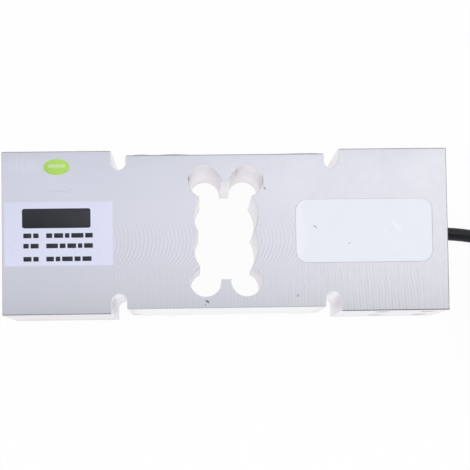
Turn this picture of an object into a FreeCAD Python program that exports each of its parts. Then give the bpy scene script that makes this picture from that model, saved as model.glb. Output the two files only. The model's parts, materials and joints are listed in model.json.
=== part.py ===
import FreeCAD, Part
import math
import os

import Sketcher
from FreeCAD import Placement, Rotation, Vector

# Single point load cell: a milled aluminium bending beam that lies on its back face.
# +X runs along the beam to the cable end, +Y is the load axis and +Z is the potted face.
# The origin is under the middle of the beam, on the surface that it lies on.

# Driving dimensions, in millimetres and degrees
SIZES = {
    # Beam
    "body_length": 191.0,
    "pad_height": 70.0,
    "body_width": 50.0,
    "pad_length": 46.7,
    "relief_depth": 2.0,
    "notch_width": 6.2,
    "notch_depth": 8.2,
    "edge_break": 0.4,
    # Centre cut-out: two main bores and four corner bores
    "main_bore_diameter": 27.5,
    "main_bore_offset": 7.0,
    "corner_bore_diameter": 13.6,
    "corner_bore_along": 8.8,
    "corner_bore_offset": 21.3,
    # Wiring pocket and the holes that meet it
    "pocket_length": 58.6,
    "pocket_width": 27.2,
    "pocket_corner": 5.0,
    "pocket_end_wall": 6.8,
    "pocket_floor_wall": 19.0,
    "pocket_shift": -0.4,
    "passage_diameter": 4.0,
    "passage_inset": 5.8,
    "cable_rise": 9.0,
    # Tapped mounting holes: four in the plain end's upper pad, four in the cable end's lower pad
    "tap_drill": 6.8,
    "tap_depth": 16.0,
    "tap_point_angle": 118.0,
    "tap_from_end": 17.3,
    "tap_spacing_along": 20.0,
    "tap_spacing_up": 25.0,
    # Strain gauges, their wiring and the sealing coat over them
    "gauge_length": 9.0,
    "gauge_width": 6.0,
    "gauge_film": 0.2,
    "ribbon_width": 3.0,
    "ribbon_film": 0.4,
    "loom_diameter": 2.4,
    "loom_landing": 7.0,
    "loom_bend": 2.5,
    "coat_length": 81.0,
    "coat_width": 42.0,
    "coat_thickness": 1.0,
    "coat_slope": 1.6,
    # Terminal board and what sits on it
    "board_length": 30.0,
    "board_width": 22.0,
    "board_thickness": 1.6,
    "board_inset": 2.4,
    "resistor_length": 6.4,
    "resistor_diameter": 2.4,
    "resistor_waist": 2.0,
    "resistor_cap": 1.5,
    "resistor_spread": 3.6,
    "pad_pitch": 3.6,
    "pad_inset": 3.0,
    # Potting
    "potting_recess": 0.3,
    # Cable, its grommet and its cores
    "cable_diameter": 5.8,
    "cable_stub": 4.2,
    "grommet_wall": 1.75,
    "fit_clearance": 0.1,
    "core_diameter": 1.3,
    "core_circle": 1.25,
    "core_bend": 1.6,
    "drain_diameter": 0.9,
    # Coil of the spare cable
    "coil_middle_radius": 32.4,
    "coil_reach": 66.0,
    "coil_side": 35.0,
    "tie_width": 4.0,
    "tie_thickness": 0.9,
    "tie_clearance": 0.1,
    "tie_head": 5.0,
    # Far end of the cable
    "sleeve_wall": 0.25,
    "sleeve_length": 12.0,
    "sleeve_gap": 0.4,
    "lead_straight": 4.0,
    "lead_step": 18.0,
    "lead_pitch": 1.75,
    # Stickers
    "label_length": 46.0,
    "label_width": 27.4,
    "label_end_gap": 1.2,
    "label_shift": -0.5,
    "sticker_length": 11.2,
    "sticker_width": 6.8,
    "sticker_from_end": 23.5,
    "sticker_from_pad": 6.8,
    "film_thickness": 0.1,
}

# The coil's layers: full turns side by side, then a turn and a part turn on top.
# Seen from above it is wound clockwise, and its last part turn ends at the tail angle.
COIL_COLUMNS = 4
COIL_LAYERS = 3
TOP_TURN_ANGLE = 180.0
TAIL_ANGLE = 30.0
TIE_ANGLES = {"near": 205.0, "far": 40.0}

# Flying leads: how many steps round the coil each point lies, and how far it is still off its rest
LEAD_FALL = ((2.0, 0.4), (3.0, 0.0), (4.0, 0.0))

# Hand-chosen cable route: distance past the end face, side step and height of each point.
# The last two points lie at the height of the coil's bottom turn.
CABLE_ROUTE = (
    (20.7, -1.9, 25.0),
    (32.5, -0.4, 17.6),
    (43.5, 3.4, 9.0),
    (54.7, 5.6, 4.6),
    (66.0, 5.6, 3.9),
)
ROUTE_START = 6.9

# The cable's cores, and where the first one stands about its axis
CORE_COLOURS = ("red", "black", "green", "white")
FIRST_CORE_ANGLE = 225.0

# How much of a run an arc takes up, and how far apart numbers may lie that should agree
ARC_SHARE = 0.45
WIRE_TOLERANCE = 0.005
LEAST_CUT = 1.0
SAME_PLACE = 1e-6

# Places that several pieces share
HALF_LENGTH = "(Sizes.body_length / 2)"
HALF_WIDTH = "(Sizes.body_width / 2)"
PAD_FACE = "(Sizes.pad_height / 2)"
RELIEF_FACE = f"({PAD_FACE} - Sizes.relief_depth)"
NOTCH_RADIUS = "(Sizes.notch_width / 2)"
POCKET_RIGHT = f"({HALF_LENGTH} - Sizes.pocket_end_wall)"
POCKET_LEFT = f"({POCKET_RIGHT} - Sizes.pocket_length)"
POCKET_MIDDLE = f"({POCKET_RIGHT} - Sizes.pocket_length / 2)"
POCKET_FLOOR = "Sizes.pocket_floor_wall"
BOARD_LEFT = f"({POCKET_LEFT} + Sizes.board_inset)"
BOARD_TOP = f"({POCKET_FLOOR} + Sizes.board_thickness)"
CABLE_HEIGHT = f"({POCKET_FLOOR} + Sizes.cable_rise)"
CABLE_START = f"({POCKET_RIGHT} - Sizes.cable_stub)"
GROMMET_DIAMETER = "(Sizes.cable_diameter + 2 * Sizes.grommet_wall)"
PASSAGE_ALONG = f"({POCKET_LEFT} + Sizes.passage_inset)"
PASSAGE_HEIGHT = f"({HALF_WIDTH} + Sizes.gauge_width / 2 + Sizes.ribbon_width / 2)"

doc = FreeCAD.newDocument("single_point_load_cell")
sheet = doc.addObject("Spreadsheet::Sheet", "Sizes")
for row, (alias, number) in enumerate(SIZES.items(), start=1):
    sheet.set(f"A{row}", alias)
    sheet.set(f"B{row}", str(number))
    sheet.setAlias(f"B{row}", alias)
doc.recompute()

nodes = []


def size(expression):
    """The number that an expression over the sheet comes to."""
    return float(sheet.evalExpression(expression))


def bind(thing, **expressions):
    """Ties properties of an object to expressions over the sheet."""
    for name, expression in expressions.items():
        thing.setExpression(name, expression)


def place(thing, along="0", across="0", up="0"):
    """Ties an object's place to expressions over the sheet."""
    for axis, expression in zip("xyz", (along, across, up)):
        thing.setExpression(f"Placement.Base.{axis}", expression)


def node(thing, label):
    """Lists an object as a sub-part of the load cell."""
    thing.Label = label
    nodes.append(thing)
    return thing


# Sketches


def origin_feature(body, role):
    """One of a body's own origin planes or axes."""
    return next(feature for feature in body.Origin.OriginFeatures if feature.Role == role)


def new_sketch(body, name, role, across="0", up="0", out="0"):
    """A sketch on an origin plane, moved within the plane and along its normal."""
    sketch = body.newObject("Sketcher::SketchObject", name)
    sketch.AttachmentSupport = [(origin_feature(body, role), "")]
    sketch.MapMode = "FlatFace"
    for axis, expression in zip("xyz", (across, up, out)):
        sketch.setExpression(f"AttachmentOffset.Base.{axis}", expression)
    return sketch


def measure(sketch, name, expression, kind, *where):
    """A named dimension of a sketch, tied to the sheet."""
    index = sketch.addConstraint(Sketcher.Constraint(kind, *where, size(expression)))
    sketch.renameConstraint(index, name)
    sketch.setExpression(f"Constraints.{name}", expression)


def rule(sketch, kind, *where):
    """A geometric rule of a sketch."""
    sketch.addConstraint(Sketcher.Constraint(kind, *where))


def line(sketch, start, end):
    """A straight edge of a sketch."""
    return sketch.addGeometry(Part.LineSegment(Vector(*start), Vector(*end)), False)


def draw_circle(sketch, diameter):
    """A circle about the sketch's own origin."""
    circle = Part.Circle(Vector(), Vector(0, 0, 1), size(diameter) / 2)
    ring = sketch.addGeometry(circle, False)
    rule(sketch, "Coincident", ring, 3, -1, 1)
    measure(sketch, "diameter", diameter, "Diameter", ring)


def draw_four_circles(sketch, diameter, along, up):
    """Four circles on the corners of a rectangle about the sketch's own origin."""
    half_along = size(along) / 2
    half_up = size(up) / 2
    signs = ((1, 1), (-1, 1), (-1, -1), (1, -1))
    rings = []
    for sign_x, sign_y in signs:
        middle = Vector(sign_x * half_along, sign_y * half_up)
        circle = Part.Circle(middle, Vector(0, 0, 1), size(diameter) / 2)
        rings.append(sketch.addGeometry(circle, False))
    first, second, third, fourth = rings
    measure(sketch, "diameter", diameter, "Diameter", first)
    for other in rings[1:]:
        rule(sketch, "Equal", first, other)
    rule(sketch, "Symmetric", second, 3, first, 3, -2)
    rule(sketch, "Symmetric", fourth, 3, first, 3, -1)
    rule(sketch, "Symmetric", third, 3, second, 3, -1)
    measure(sketch, "along", along, "DistanceX", second, 3, first, 3)
    measure(sketch, "up", up, "DistanceY", fourth, 3, first, 3)


def draw_rectangle(sketch, length, height):
    """A rectangle about the sketch's own origin."""
    x = size(length) / 2
    y = size(height) / 2
    corners = ((-x, -y), (x, -y), (x, y), (-x, y))
    edges = [line(sketch, corners[k], corners[(k + 1) % 4]) for k in range(4)]
    for k in range(4):
        rule(sketch, "Coincident", edges[k], 2, edges[(k + 1) % 4], 1)
        rule(sketch, "Vertical" if k % 2 else "Horizontal", edges[k])
    rule(sketch, "Symmetric", edges[0], 1, edges[1], 2, -1, 1)
    measure(sketch, "length", length, "DistanceX", edges[0], 1, edges[0], 2)
    measure(sketch, "height", height, "DistanceY", edges[1], 1, edges[1], 2)


def draw_rounded_rectangle(sketch, length, height, corner):
    """A rectangle with equal round corners about the sketch's own origin."""
    x = size(length) / 2
    y = size(height) / 2
    r = size(corner)
    edges = [
        line(sketch, (r - x, -y), (x - r, -y)),
        line(sketch, (x, r - y), (x, y - r)),
        line(sketch, (x - r, y), (r - x, y)),
        line(sketch, (-x, y - r), (-x, r - y)),
    ]
    arcs = []
    for k, (sign_x, sign_y) in enumerate(((1, -1), (1, 1), (-1, 1), (-1, -1))):
        circle = Part.Circle(Vector(sign_x * (x - r), sign_y * (y - r)), Vector(0, 0, 1), r)
        start = (k - 1) * math.pi / 2
        arc = Part.ArcOfCircle(circle, start, start + math.pi / 2)
        arcs.append(sketch.addGeometry(arc, False))
    for k in range(4):
        rule(sketch, "Tangent", edges[k], 2, arcs[k], 1)
        rule(sketch, "Tangent", arcs[k], 2, edges[(k + 1) % 4], 1)
        rule(sketch, "Vertical" if k % 2 else "Horizontal", edges[k])
    for other in arcs[1:]:
        rule(sketch, "Equal", arcs[0], other)
    rule(sketch, "Symmetric", arcs[0], 3, arcs[2], 3, -1, 1)
    measure(sketch, "corner", corner, "Radius", arcs[0])
    measure(sketch, "length", length, "DistanceX", edges[3], 1, edges[1], 1)
    measure(sketch, "height", height, "DistanceY", edges[0], 1, edges[2], 1)


def draw_notch(sketch, radius, height):
    """A slot with a round floor about the sketch's own origin, open above."""
    r = size(radius)
    top = size(height)
    circle = Part.Circle(Vector(), Vector(0, 0, 1), r)
    floor = sketch.addGeometry(Part.ArcOfCircle(circle, math.pi, 2 * math.pi), False)
    right = line(sketch, (r, 0), (r, top))
    lid = line(sketch, (r, top), (-r, top))
    left = line(sketch, (-r, top), (-r, 0))
    rule(sketch, "Coincident", floor, 3, -1, 1)
    rule(sketch, "Coincident", floor, 2, right, 1)
    rule(sketch, "Coincident", right, 2, lid, 1)
    rule(sketch, "Coincident", lid, 2, left, 1)
    rule(sketch, "Coincident", left, 2, floor, 1)
    rule(sketch, "PointOnObject", floor, 1, -1)
    rule(sketch, "PointOnObject", floor, 2, -1)
    rule(sketch, "Vertical", right)
    rule(sketch, "Vertical", left)
    rule(sketch, "Horizontal", lid)
    measure(sketch, "radius", radius, "Radius", floor)
    measure(sketch, "height", height, "DistanceY", right, 1, right, 2)


# Features of a body


def pad(body, name, sketch, length):
    """Extrudes a sketch along its plane's normal."""
    feature = body.newObject("PartDesign::Pad", name)
    feature.Profile = sketch
    bind(feature, Length=length)
    return feature


def pocket(body, name, sketch, length, along_normal=False):
    """Cuts a sketch out, against its plane's normal unless told otherwise."""
    feature = body.newObject("PartDesign::Pocket", name)
    feature.Profile = sketch
    feature.Reversed = along_normal
    bind(feature, Length=length)
    return feature


def mirror(body, name, feature, *roles):
    """Repeats a feature across one or two of the body's origin planes."""
    if len(roles) == 1:
        repeat = body.newObject("PartDesign::Mirrored", name)
        repeat.Originals = [feature]
        repeat.MirrorPlane = (origin_feature(body, roles[0]), [""])
    else:
        steps = []
        for role in roles:
            step = body.newObject("PartDesign::Mirrored", f"{name}{role}")
            step.MirrorPlane = (origin_feature(body, role), [""])
            steps.append(step)
        repeat = body.newObject("PartDesign::MultiTransform", name)
        repeat.Originals = [feature]
        repeat.Transformations = steps
    body.Tip = repeat
    return repeat


def half_turn(body, name, feature):
    """Repeats a feature half a turn round the body's upright axis."""
    repeat = body.newObject("PartDesign::PolarPattern", name)
    repeat.Originals = [feature]
    repeat.Axis = (origin_feature(body, "Z_Axis"), [""])
    repeat.Angle = 360.0
    repeat.Occurrences = 2
    body.Tip = repeat
    return repeat


# Spring body


def build_spring_body():
    """The beam: a billet with reliefs, notches, the bored cut-out, the pocket and holes."""
    body = node(doc.addObject("PartDesign::Body", "SpringBody"), "spring_body")

    billet = new_sketch(body, "BilletOutline", "XY_Plane")
    draw_rectangle(billet, "Sizes.body_length", "Sizes.pad_height")
    pad(body, "Billet", billet, "Sizes.body_width")

    relief = new_sketch(body, "ReliefOutline", "XY_Plane", up=PAD_FACE)
    draw_rectangle(relief, "Sizes.body_length - 2 * Sizes.pad_length", "2 * Sizes.relief_depth")
    upper_relief = pocket(body, "UpperRelief", relief, "Sizes.body_width", along_normal=True)
    mirror(body, "Reliefs", upper_relief, "XZ_Plane")

    notch = new_sketch(
        body,
        "NotchOutline",
        "XY_Plane",
        across=f"{HALF_LENGTH} - Sizes.pad_length - {NOTCH_RADIUS}",
        up=f"{PAD_FACE} - Sizes.notch_depth + {NOTCH_RADIUS}",
    )
    draw_notch(notch, NOTCH_RADIUS, "Sizes.notch_depth")
    first_notch = pocket(body, "FirstNotch", notch, "Sizes.body_width", along_normal=True)
    mirror(body, "Notches", first_notch, "YZ_Plane", "XZ_Plane")

    main = new_sketch(body, "MainBoreOutline", "XY_Plane", up="Sizes.main_bore_offset")
    draw_circle(main, "Sizes.main_bore_diameter")
    upper_bore = pocket(body, "UpperBore", main, "Sizes.body_width", along_normal=True)
    mirror(body, "MainBores", upper_bore, "XZ_Plane")

    corner = new_sketch(
        body,
        "CornerBoreOutline",
        "XY_Plane",
        across="Sizes.corner_bore_along",
        up="Sizes.corner_bore_offset",
    )
    draw_circle(corner, "Sizes.corner_bore_diameter")
    first_corner = pocket(body, "FirstCornerBore", corner, "Sizes.body_width", along_normal=True)
    mirror(body, "CornerBores", first_corner, "YZ_Plane", "XZ_Plane")

    wiring = new_sketch(
        body, "WiringOutline", "XY_Plane", POCKET_MIDDLE, "Sizes.pocket_shift", "Sizes.body_width"
    )
    draw_rounded_rectangle(
        wiring, "Sizes.pocket_length", "Sizes.pocket_width", "Sizes.pocket_corner"
    )
    pocket(body, "WiringPocket", wiring, f"Sizes.body_width - {POCKET_FLOOR}")

    entry = new_sketch(body, "CableBoreOutline", "YZ_Plane", up=CABLE_HEIGHT, out=HALF_LENGTH)
    draw_circle(entry, GROMMET_DIAMETER)
    pocket(body, "CableBore", entry, "Sizes.pocket_end_wall + Sizes.pocket_corner")

    passage = new_sketch(
        body, "PassageOutline", "XZ_Plane", PASSAGE_ALONG, PASSAGE_HEIGHT, f"-{RELIEF_FACE}"
    )
    draw_circle(passage, "Sizes.passage_diameter")
    reach = f"{RELIEF_FACE} - Sizes.pocket_width / 2 + Sizes.pocket_corner"
    upper_passage = pocket(body, "UpperPassage", passage, reach, along_normal=True)
    mirror(body, "Passages", upper_passage, "XZ_Plane")

    holes = new_sketch(
        body,
        "TapOutline",
        "XZ_Plane",
        f"Sizes.tap_from_end - {HALF_LENGTH}",
        HALF_WIDTH,
        f"-{PAD_FACE}",
    )
    draw_four_circles(
        holes, "Sizes.tap_drill", "Sizes.tap_spacing_along", "Sizes.tap_spacing_up"
    )
    doc.recompute()
    tapped = body.newObject("PartDesign::Hole", "PlainEndHoles")
    tapped.Profile = holes
    tapped.DepthType = "Dimension"
    tapped.DrillPoint = "Angled"
    tapped.Reversed = True
    bind(
        tapped,
        Diameter="Sizes.tap_drill",
        Depth="Sizes.tap_depth",
        DrillPointAngle="Sizes.tap_point_angle",
    )
    every_hole = half_turn(body, "TappedHoles", tapped)
    doc.recompute()

    outer_levels = (0.0, size("Sizes.body_width"))
    big_faces = [
        f"Face{k}"
        for k, face in enumerate(every_hole.Shape.Faces, start=1)
        if any(math.isclose(face.BoundBox.ZMin, z, abs_tol=SAME_PLACE) for z in outer_levels)
        and face.BoundBox.ZLength < SAME_PLACE
    ]
    edges = body.newObject("PartDesign::Chamfer", "EdgeBreak")
    edges.Base = (every_hole, big_faces)
    bind(edges, Size="Sizes.edge_break")
    body.Tip = edges
    return body


# Plain solids


def box(name, length, width, height, along, across, up):
    """A box from its lowest corner."""
    thing = doc.addObject("Part::Box", name)
    bind(thing, Length=length, Width=width, Height=height)
    place(thing, along, across, up)
    return thing


def rod(name, diameter, length, along, across, up):
    """A round bar along +X from the middle of its first end."""
    thing = doc.addObject("Part::Cylinder", name)
    thing.Placement = Placement(Vector(), Rotation(Vector(0, 1, 0), 90))
    bind(thing, Radius=f"({diameter}) / 2", Height=length)
    place(thing, along, across, up)
    return thing


def cut(name, base, tool):
    """One solid less another."""
    thing = doc.addObject("Part::Cut", name)
    thing.Base = base
    thing.Tool = tool
    return thing


def fuse(name, things):
    """Several solids joined as one."""
    thing = doc.addObject("Part::MultiFuse", name)
    thing.Shapes = things
    thing.Refine = True
    return thing


def feature(name, shape):
    """A solid whose shape is worked out from the sheet here."""
    thing = doc.addObject("Part::Feature", name)
    thing.Shape = shape
    return thing


# Round wire and cable


def corner_arc(before, point, after, cut_back):
    """The arc that is tangent to both runs at a route's point, with its radius."""
    into = (point - before).normalize()
    away = (after - point).normalize()
    turn = into.getAngle(away)
    radius = cut_back(turn, min(point.distanceToPoint(before), point.distanceToPoint(after)))
    back = radius * math.tan(turn / 2)
    inward = (away - into).normalize()
    middle = point + inward * (radius / math.cos(turn / 2) - radius)
    return Part.Arc(point - into * back, middle, point + away * back), radius


def largest_radius(turn, shorter_run):
    """The arc that takes up most of the shorter of two runs."""
    return ARC_SHARE * shorter_run / math.tan(turn / 2)


def round_wire(points, diameter, radius_rule):
    """A round solid along straight runs and tangent arcs, with its arcs' radii."""
    edges = []
    radii = []
    here = points[0]
    for before, point, after in zip(points, points[1:], points[2:]):
        arc, radius = corner_arc(before, point, after, radius_rule)
        edges.append(Part.LineSegment(here, arc.StartPoint).toShape())
        edges.append(arc.toShape())
        radii.append(radius)
        here = arc.EndPoint
    edges.append(Part.LineSegment(here, points[-1]).toShape())
    path = Part.Wire(edges)
    circle = Part.Circle(points[0], points[1] - points[0], diameter / 2)
    solid = path.makePipeShell([Part.Wire(circle.toShape())], True, False)
    expected = math.pi * diameter**2 / 4 * path.Length
    if abs(solid.Volume - expected) > WIRE_TOLERANCE * expected:
        raise RuntimeError(f"round wire holds {solid.Volume:.1f} of {expected:.1f} cubic mm")
    return solid, radii


def fixed_radius(radius):
    """A rule that gives every arc of a wire one radius."""
    return lambda turn, shorter_run: radius


# Strain gauges, gauge wiring and coats


def build_gauge_side(side, sign):
    """Two gauges, their wiring and the coat over them, in one of the two reliefs."""
    face = RELIEF_FACE if sign > 0 else f"-{RELIEF_FACE}"

    def lying(film):
        """The lower Y of a film that lies on this relief."""
        return face if sign > 0 else f"{face} - {film}"

    gauges = []
    for end, end_sign in (("left", -1), ("right", 1)):
        gauge = box(
            f"Gauge{side}{end}",
            "Sizes.gauge_length",
            "Sizes.gauge_film",
            "Sizes.gauge_width",
            f"{end_sign} * Sizes.corner_bore_along - Sizes.gauge_length / 2",
            lying("Sizes.gauge_film"),
            f"{HALF_WIDTH} - Sizes.gauge_width / 2",
        )
        gauges.append(node(gauge, f"gauge_{side}_{end}"))

    start = "(-Sizes.corner_bore_along - Sizes.gauge_length / 2)"
    ribbon = box(
        f"Ribbon{side}",
        f"{PASSAGE_ALONG} + Sizes.ribbon_width / 2 - {start}",
        "Sizes.ribbon_film",
        "Sizes.ribbon_width",
        start,
        lying("Sizes.ribbon_film"),
        f"{HALF_WIDTH} + Sizes.gauge_width / 2",
    )
    along = size(PASSAGE_ALONG)
    top = sign * size(f"{RELIEF_FACE} + Sizes.ribbon_film / 2")
    landing = sign * size("Sizes.loom_landing")
    height = size(PASSAGE_HEIGHT)
    route = [
        Vector(along, top, height),
        Vector(along, landing, height),
        Vector(along, landing, size(BOARD_TOP)),
    ]
    loom, _ = round_wire(route, size("Sizes.loom_diameter"), fixed_radius(size("Sizes.loom_bend")))
    leads = fuse(f"GaugeLeads{side}", [ribbon, feature(f"Loom{side}", loom)])
    node(leads, f"gauge_leads_{side}")

    blanket = doc.addObject("Part::Wedge", f"Blanket{side}")
    blanket.Placement = Placement(Vector(), Rotation(Vector(1, 0, 0), 0 if sign > 0 else 180))
    place(blanket, "0", face, HALF_WIDTH)
    bind(
        blanket,
        Xmin="-Sizes.coat_length / 2",
        Xmax="Sizes.coat_length / 2",
        Ymin="0",
        Ymax="Sizes.coat_thickness",
        Zmin="-Sizes.coat_width / 2",
        Zmax="Sizes.coat_width / 2",
        X2min="-Sizes.coat_length / 2 + Sizes.coat_slope",
        X2max="Sizes.coat_length / 2 - Sizes.coat_slope",
        Z2min="-Sizes.coat_width / 2 + Sizes.coat_slope",
        Z2max="Sizes.coat_width / 2 - Sizes.coat_slope",
    )
    buried = fuse(f"Buried{side}", gauges + [leads])
    node(cut(f"Coat{side}", blanket, buried), f"gauge_coat_{side}")
    return leads


# Board, its parts and the cores that reach it


def build_board():
    """The terminal board on the pocket's floor, with its two resistors."""
    board = box(
        "Board",
        "Sizes.board_length",
        "Sizes.board_width",
        "Sizes.board_thickness",
        BOARD_LEFT,
        "Sizes.pocket_shift - Sizes.board_width / 2",
        POCKET_FLOOR,
    )
    node(board, "terminal_board")
    pieces = [board]
    for name, sign in (("span", 1), ("balance", -1)):
        start = f"({BOARD_LEFT} + Sizes.board_length / 2 - Sizes.resistor_length / 2)"
        across = f"Sizes.pocket_shift + {sign} * Sizes.resistor_spread"
        up = f"{BOARD_TOP} + Sizes.resistor_diameter / 2"
        far_cap = f"{start} + Sizes.resistor_length - Sizes.resistor_cap"
        parts = [
            rod(f"{name}Waist", "Sizes.resistor_waist", "Sizes.resistor_length", start, across, up),
            rod(f"{name}Cap", "Sizes.resistor_diameter", "Sizes.resistor_cap", start, across, up),
            rod(f"{name}FarCap", "Sizes.resistor_diameter", "Sizes.resistor_cap", far_cap, across, up),
        ]
        resistor = fuse(f"{name}Resistor", parts)
        pieces.append(node(resistor, f"{name}_resistor"))
    return pieces


def core_offsets():
    """Where the four cores stand about the cable's own axis."""
    circle = size("Sizes.core_circle")
    step = 360.0 / len(CORE_COLOURS)
    angles = [math.radians(FIRST_CORE_ANGLE - step * k) for k in range(len(CORE_COLOURS))]
    return [(circle * math.cos(angle), circle * math.sin(angle)) for angle in angles]


def board_wire(name, label, diameter, offset, landing):
    """One wire from the cable's end to its solder pad on the board."""
    across, up = offset
    start = size(CABLE_START)
    height = size(CABLE_HEIGHT) + up
    pad_along = size(f"{BOARD_LEFT} + Sizes.board_length - Sizes.pad_inset")
    spread = start - size("Sizes.pad_inset")
    route = [
        Vector(start, across, height),
        Vector(spread, across, height),
        Vector(pad_along + size("Sizes.pad_inset"), landing, height),
        Vector(pad_along, landing, height),
        Vector(pad_along, landing, size(BOARD_TOP)),
    ]
    if abs(landing - across) < size("Sizes.fit_clearance"):
        route = [route[0], route[3], route[4]]
    solid, _ = round_wire(route, diameter, fixed_radius(size("Sizes.core_bend")))
    return node(feature(name, solid), label)


def build_board_wires():
    """Four cores and the screen's drain wire inside the pocket."""
    pitch = size("Sizes.pad_pitch")
    shift = size("Sizes.pocket_shift")
    core = size("Sizes.core_diameter")
    drain = size("Sizes.drain_diameter")
    rows = [
        (offset, f"board_lead_{colour}", core)
        for offset, colour in zip(core_offsets(), CORE_COLOURS)
    ]
    rows.append(((0.0, 0.0), "board_drain_wire", drain))
    rows.sort()
    middle = (len(rows) - 1) / 2
    wires = []
    for k, (offset, label, diameter) in enumerate(rows):
        landing = shift + (k - middle) * pitch
        wires.append(board_wire(f"BoardWire{k}", label, diameter, offset, landing))
    return wires


# Cable, grommet, coil and far end


def build_grommet():
    """The rubber sleeve in the end wall, flush with the end face."""
    seat = ("Sizes.pocket_end_wall", POCKET_RIGHT, "0", CABLE_HEIGHT)
    wall = rod("GrommetWall", GROMMET_DIAMETER, *seat)
    hole = rod("GrommetHole", "Sizes.cable_diameter + 2 * Sizes.fit_clearance", *seat)
    return node(cut("Grommet", wall, hole), "cable_grommet")


def coil_centre():
    """The coil's axis, on the height of the underside of its turns."""
    lift = size("Sizes.tie_thickness + Sizes.tie_clearance")
    along = size(f"{HALF_LENGTH} + Sizes.coil_reach")
    return Vector(along, -size("Sizes.coil_side"), lift)


def ring(inner, outer, low, high, start=0.0, angle=360.0):
    """A ring about the coil's axis, between two radii and two heights."""
    base = coil_centre() + Vector(0, 0, low)
    up = Vector(0, 0, 1)
    disc = Part.makeCylinder(outer, high - low, base, up, angle)
    solid = disc.cut(Part.makeCylinder(inner, high - low, base, up, angle))
    return solid.rotated(base, up, start)


def coil_levels():
    """The coil's inner and outer radius, and the heights of its full and top layers."""
    turn = size("Sizes.cable_diameter")
    middle = size("Sizes.coil_middle_radius")
    spread = COIL_COLUMNS * turn / 2
    return middle - spread, middle + spread, COIL_LAYERS * turn, (COIL_LAYERS + 1) * turn


def build_coil():
    """The outer shape of the coiled cable: full layers, then one turn and a part turn on top."""
    turn = size("Sizes.cable_diameter")
    middle = size("Sizes.coil_middle_radius")
    inner, outer, shoulder, top = coil_levels()
    solid = ring(inner, outer, 0, shoulder)
    solid = solid.fuse(ring(middle - turn, middle, shoulder, top))
    solid = solid.fuse(ring(middle, middle + turn, shoulder, top, TAIL_ANGLE, TOP_TURN_ANGLE))
    return node(feature("Coil", solid.removeSplitter()), "cable_coil")


def build_ties():
    """Bands drawn tight round the coil's section, each with its head."""
    inner, outer, shoulder, top = coil_levels()
    turn = size("Sizes.cable_diameter")
    middle = size("Sizes.coil_middle_radius")
    corners = [
        (inner, 0),
        (outer, 0),
        (outer, shoulder),
        (middle + turn, top),
        (middle - turn, top),
        (inner, shoulder),
    ]
    gap = size("Sizes.tie_clearance")
    thickness = size("Sizes.tie_thickness")
    width = size("Sizes.tie_width")
    head = size("Sizes.tie_head")
    points = [Vector(radius, -width / 2, height) for radius, height in corners]
    section = Part.Face(Part.makePolygon(points + points[:1]))
    band = section.makeOffset2D(gap + thickness, 2).cut(section.makeOffset2D(gap, 2))
    loop = band.extrude(Vector(0, width, 0))
    block = Part.makeBox(head, head, head, Vector(outer + gap, -head / 2, shoulder / 2))
    tie = loop.fuse(block).removeSplitter()
    for name, angle in TIE_ANGLES.items():
        thing = feature(f"Tie{name}", tie)
        thing.Placement = Placement(coil_centre(), Rotation(Vector(0, 0, 1), angle))
        node(thing, f"cable_tie_{name}")


def build_cable(coil):
    """The cable from the pocket through the grommet to the coil's bottom turn."""
    end_face = size(HALF_LENGTH)
    height = size(CABLE_HEIGHT)
    route = [Vector(size(CABLE_START), 0, height), Vector(end_face + ROUTE_START, 0, height)]
    route += [Vector(end_face + along, across, up) for along, across, up in CABLE_ROUTE]
    solid, radii = round_wire(route, size("Sizes.cable_diameter"), largest_radius)
    print("cable arc radii", [round(radius, 1) for radius in radii])
    free = feature("CableRun", solid)
    return node(cut("Cable", free, coil), "cable")


def about_coil(angle, radius, height):
    """A point about the coil's axis."""
    turned = math.radians(angle)
    return coil_centre() + Vector(radius * math.cos(turned), radius * math.sin(turned), height)


def build_far_end():
    """The sleeve where the jacket ends, and the flying leads that lie on the coil."""
    turn = size("Sizes.cable_diameter")
    sleeve = turn / 2 + size("Sizes.sleeve_wall")
    core = size("Sizes.core_diameter")
    drain = size("Sizes.drain_diameter")
    shoulder = coil_levels()[2]
    start_radius = size("Sizes.coil_middle_radius") + sleeve + size("Sizes.sleeve_gap")
    start = about_coil(TAIL_ANGLE, start_radius, shoulder + sleeve)
    tail = math.radians(TAIL_ANGLE)
    outward = Vector(math.cos(tail), math.sin(tail), 0)
    onward = Vector(math.sin(tail), -math.cos(tail), 0)
    length = size("Sizes.sleeve_length")
    node(feature("EndSleeve", Part.makeCylinder(sleeve, length, start, onward)), "end_sleeve")

    mouth = start + onward * length
    step = size("Sizes.lead_step")
    pitch = size("Sizes.lead_pitch")
    leads = [
        (f"end_lead_{colour}", core, offset)
        for colour, offset in zip(CORE_COLOURS, core_offsets())
    ]
    leads.insert(len(leads) // 2, ("end_drain_wire", drain, (0.0, 0.0)))
    for k, (label, diameter, (across, up)) in enumerate(leads):
        lane = start_radius + pitch * k - pitch / 2
        rest = shoulder + diameter / 2
        above = sleeve + up - diameter / 2
        root = mouth + outward * across + Vector(0, 0, up)
        route = [root, root + onward * size("Sizes.lead_straight")]
        for steps, share in LEAD_FALL:
            route.append(about_coil(TAIL_ANGLE - steps * step, lane, rest + share * above))
        solid, _ = round_wire(route, diameter, largest_radius)
        node(feature(f"Lead{k}", solid), label)


# Potting and stickers


def build_potting(buried):
    """The compound that fills the pocket round everything in it."""
    body = doc.addObject("PartDesign::Body", "PottingFill")
    outline = new_sketch(
        body, "PottingOutline", "XY_Plane", POCKET_MIDDLE, "Sizes.pocket_shift", POCKET_FLOOR
    )
    draw_rounded_rectangle(
        outline, "Sizes.pocket_length", "Sizes.pocket_width", "Sizes.pocket_corner"
    )
    pad(body, "PottingBlock", outline, f"Sizes.body_width - {POCKET_FLOOR} - Sizes.potting_recess")
    potting = body
    for thing in buried:
        potting = cut(f"PottingRound{thing.Name}", potting, thing)
    node(potting, "pocket_potting")


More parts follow.
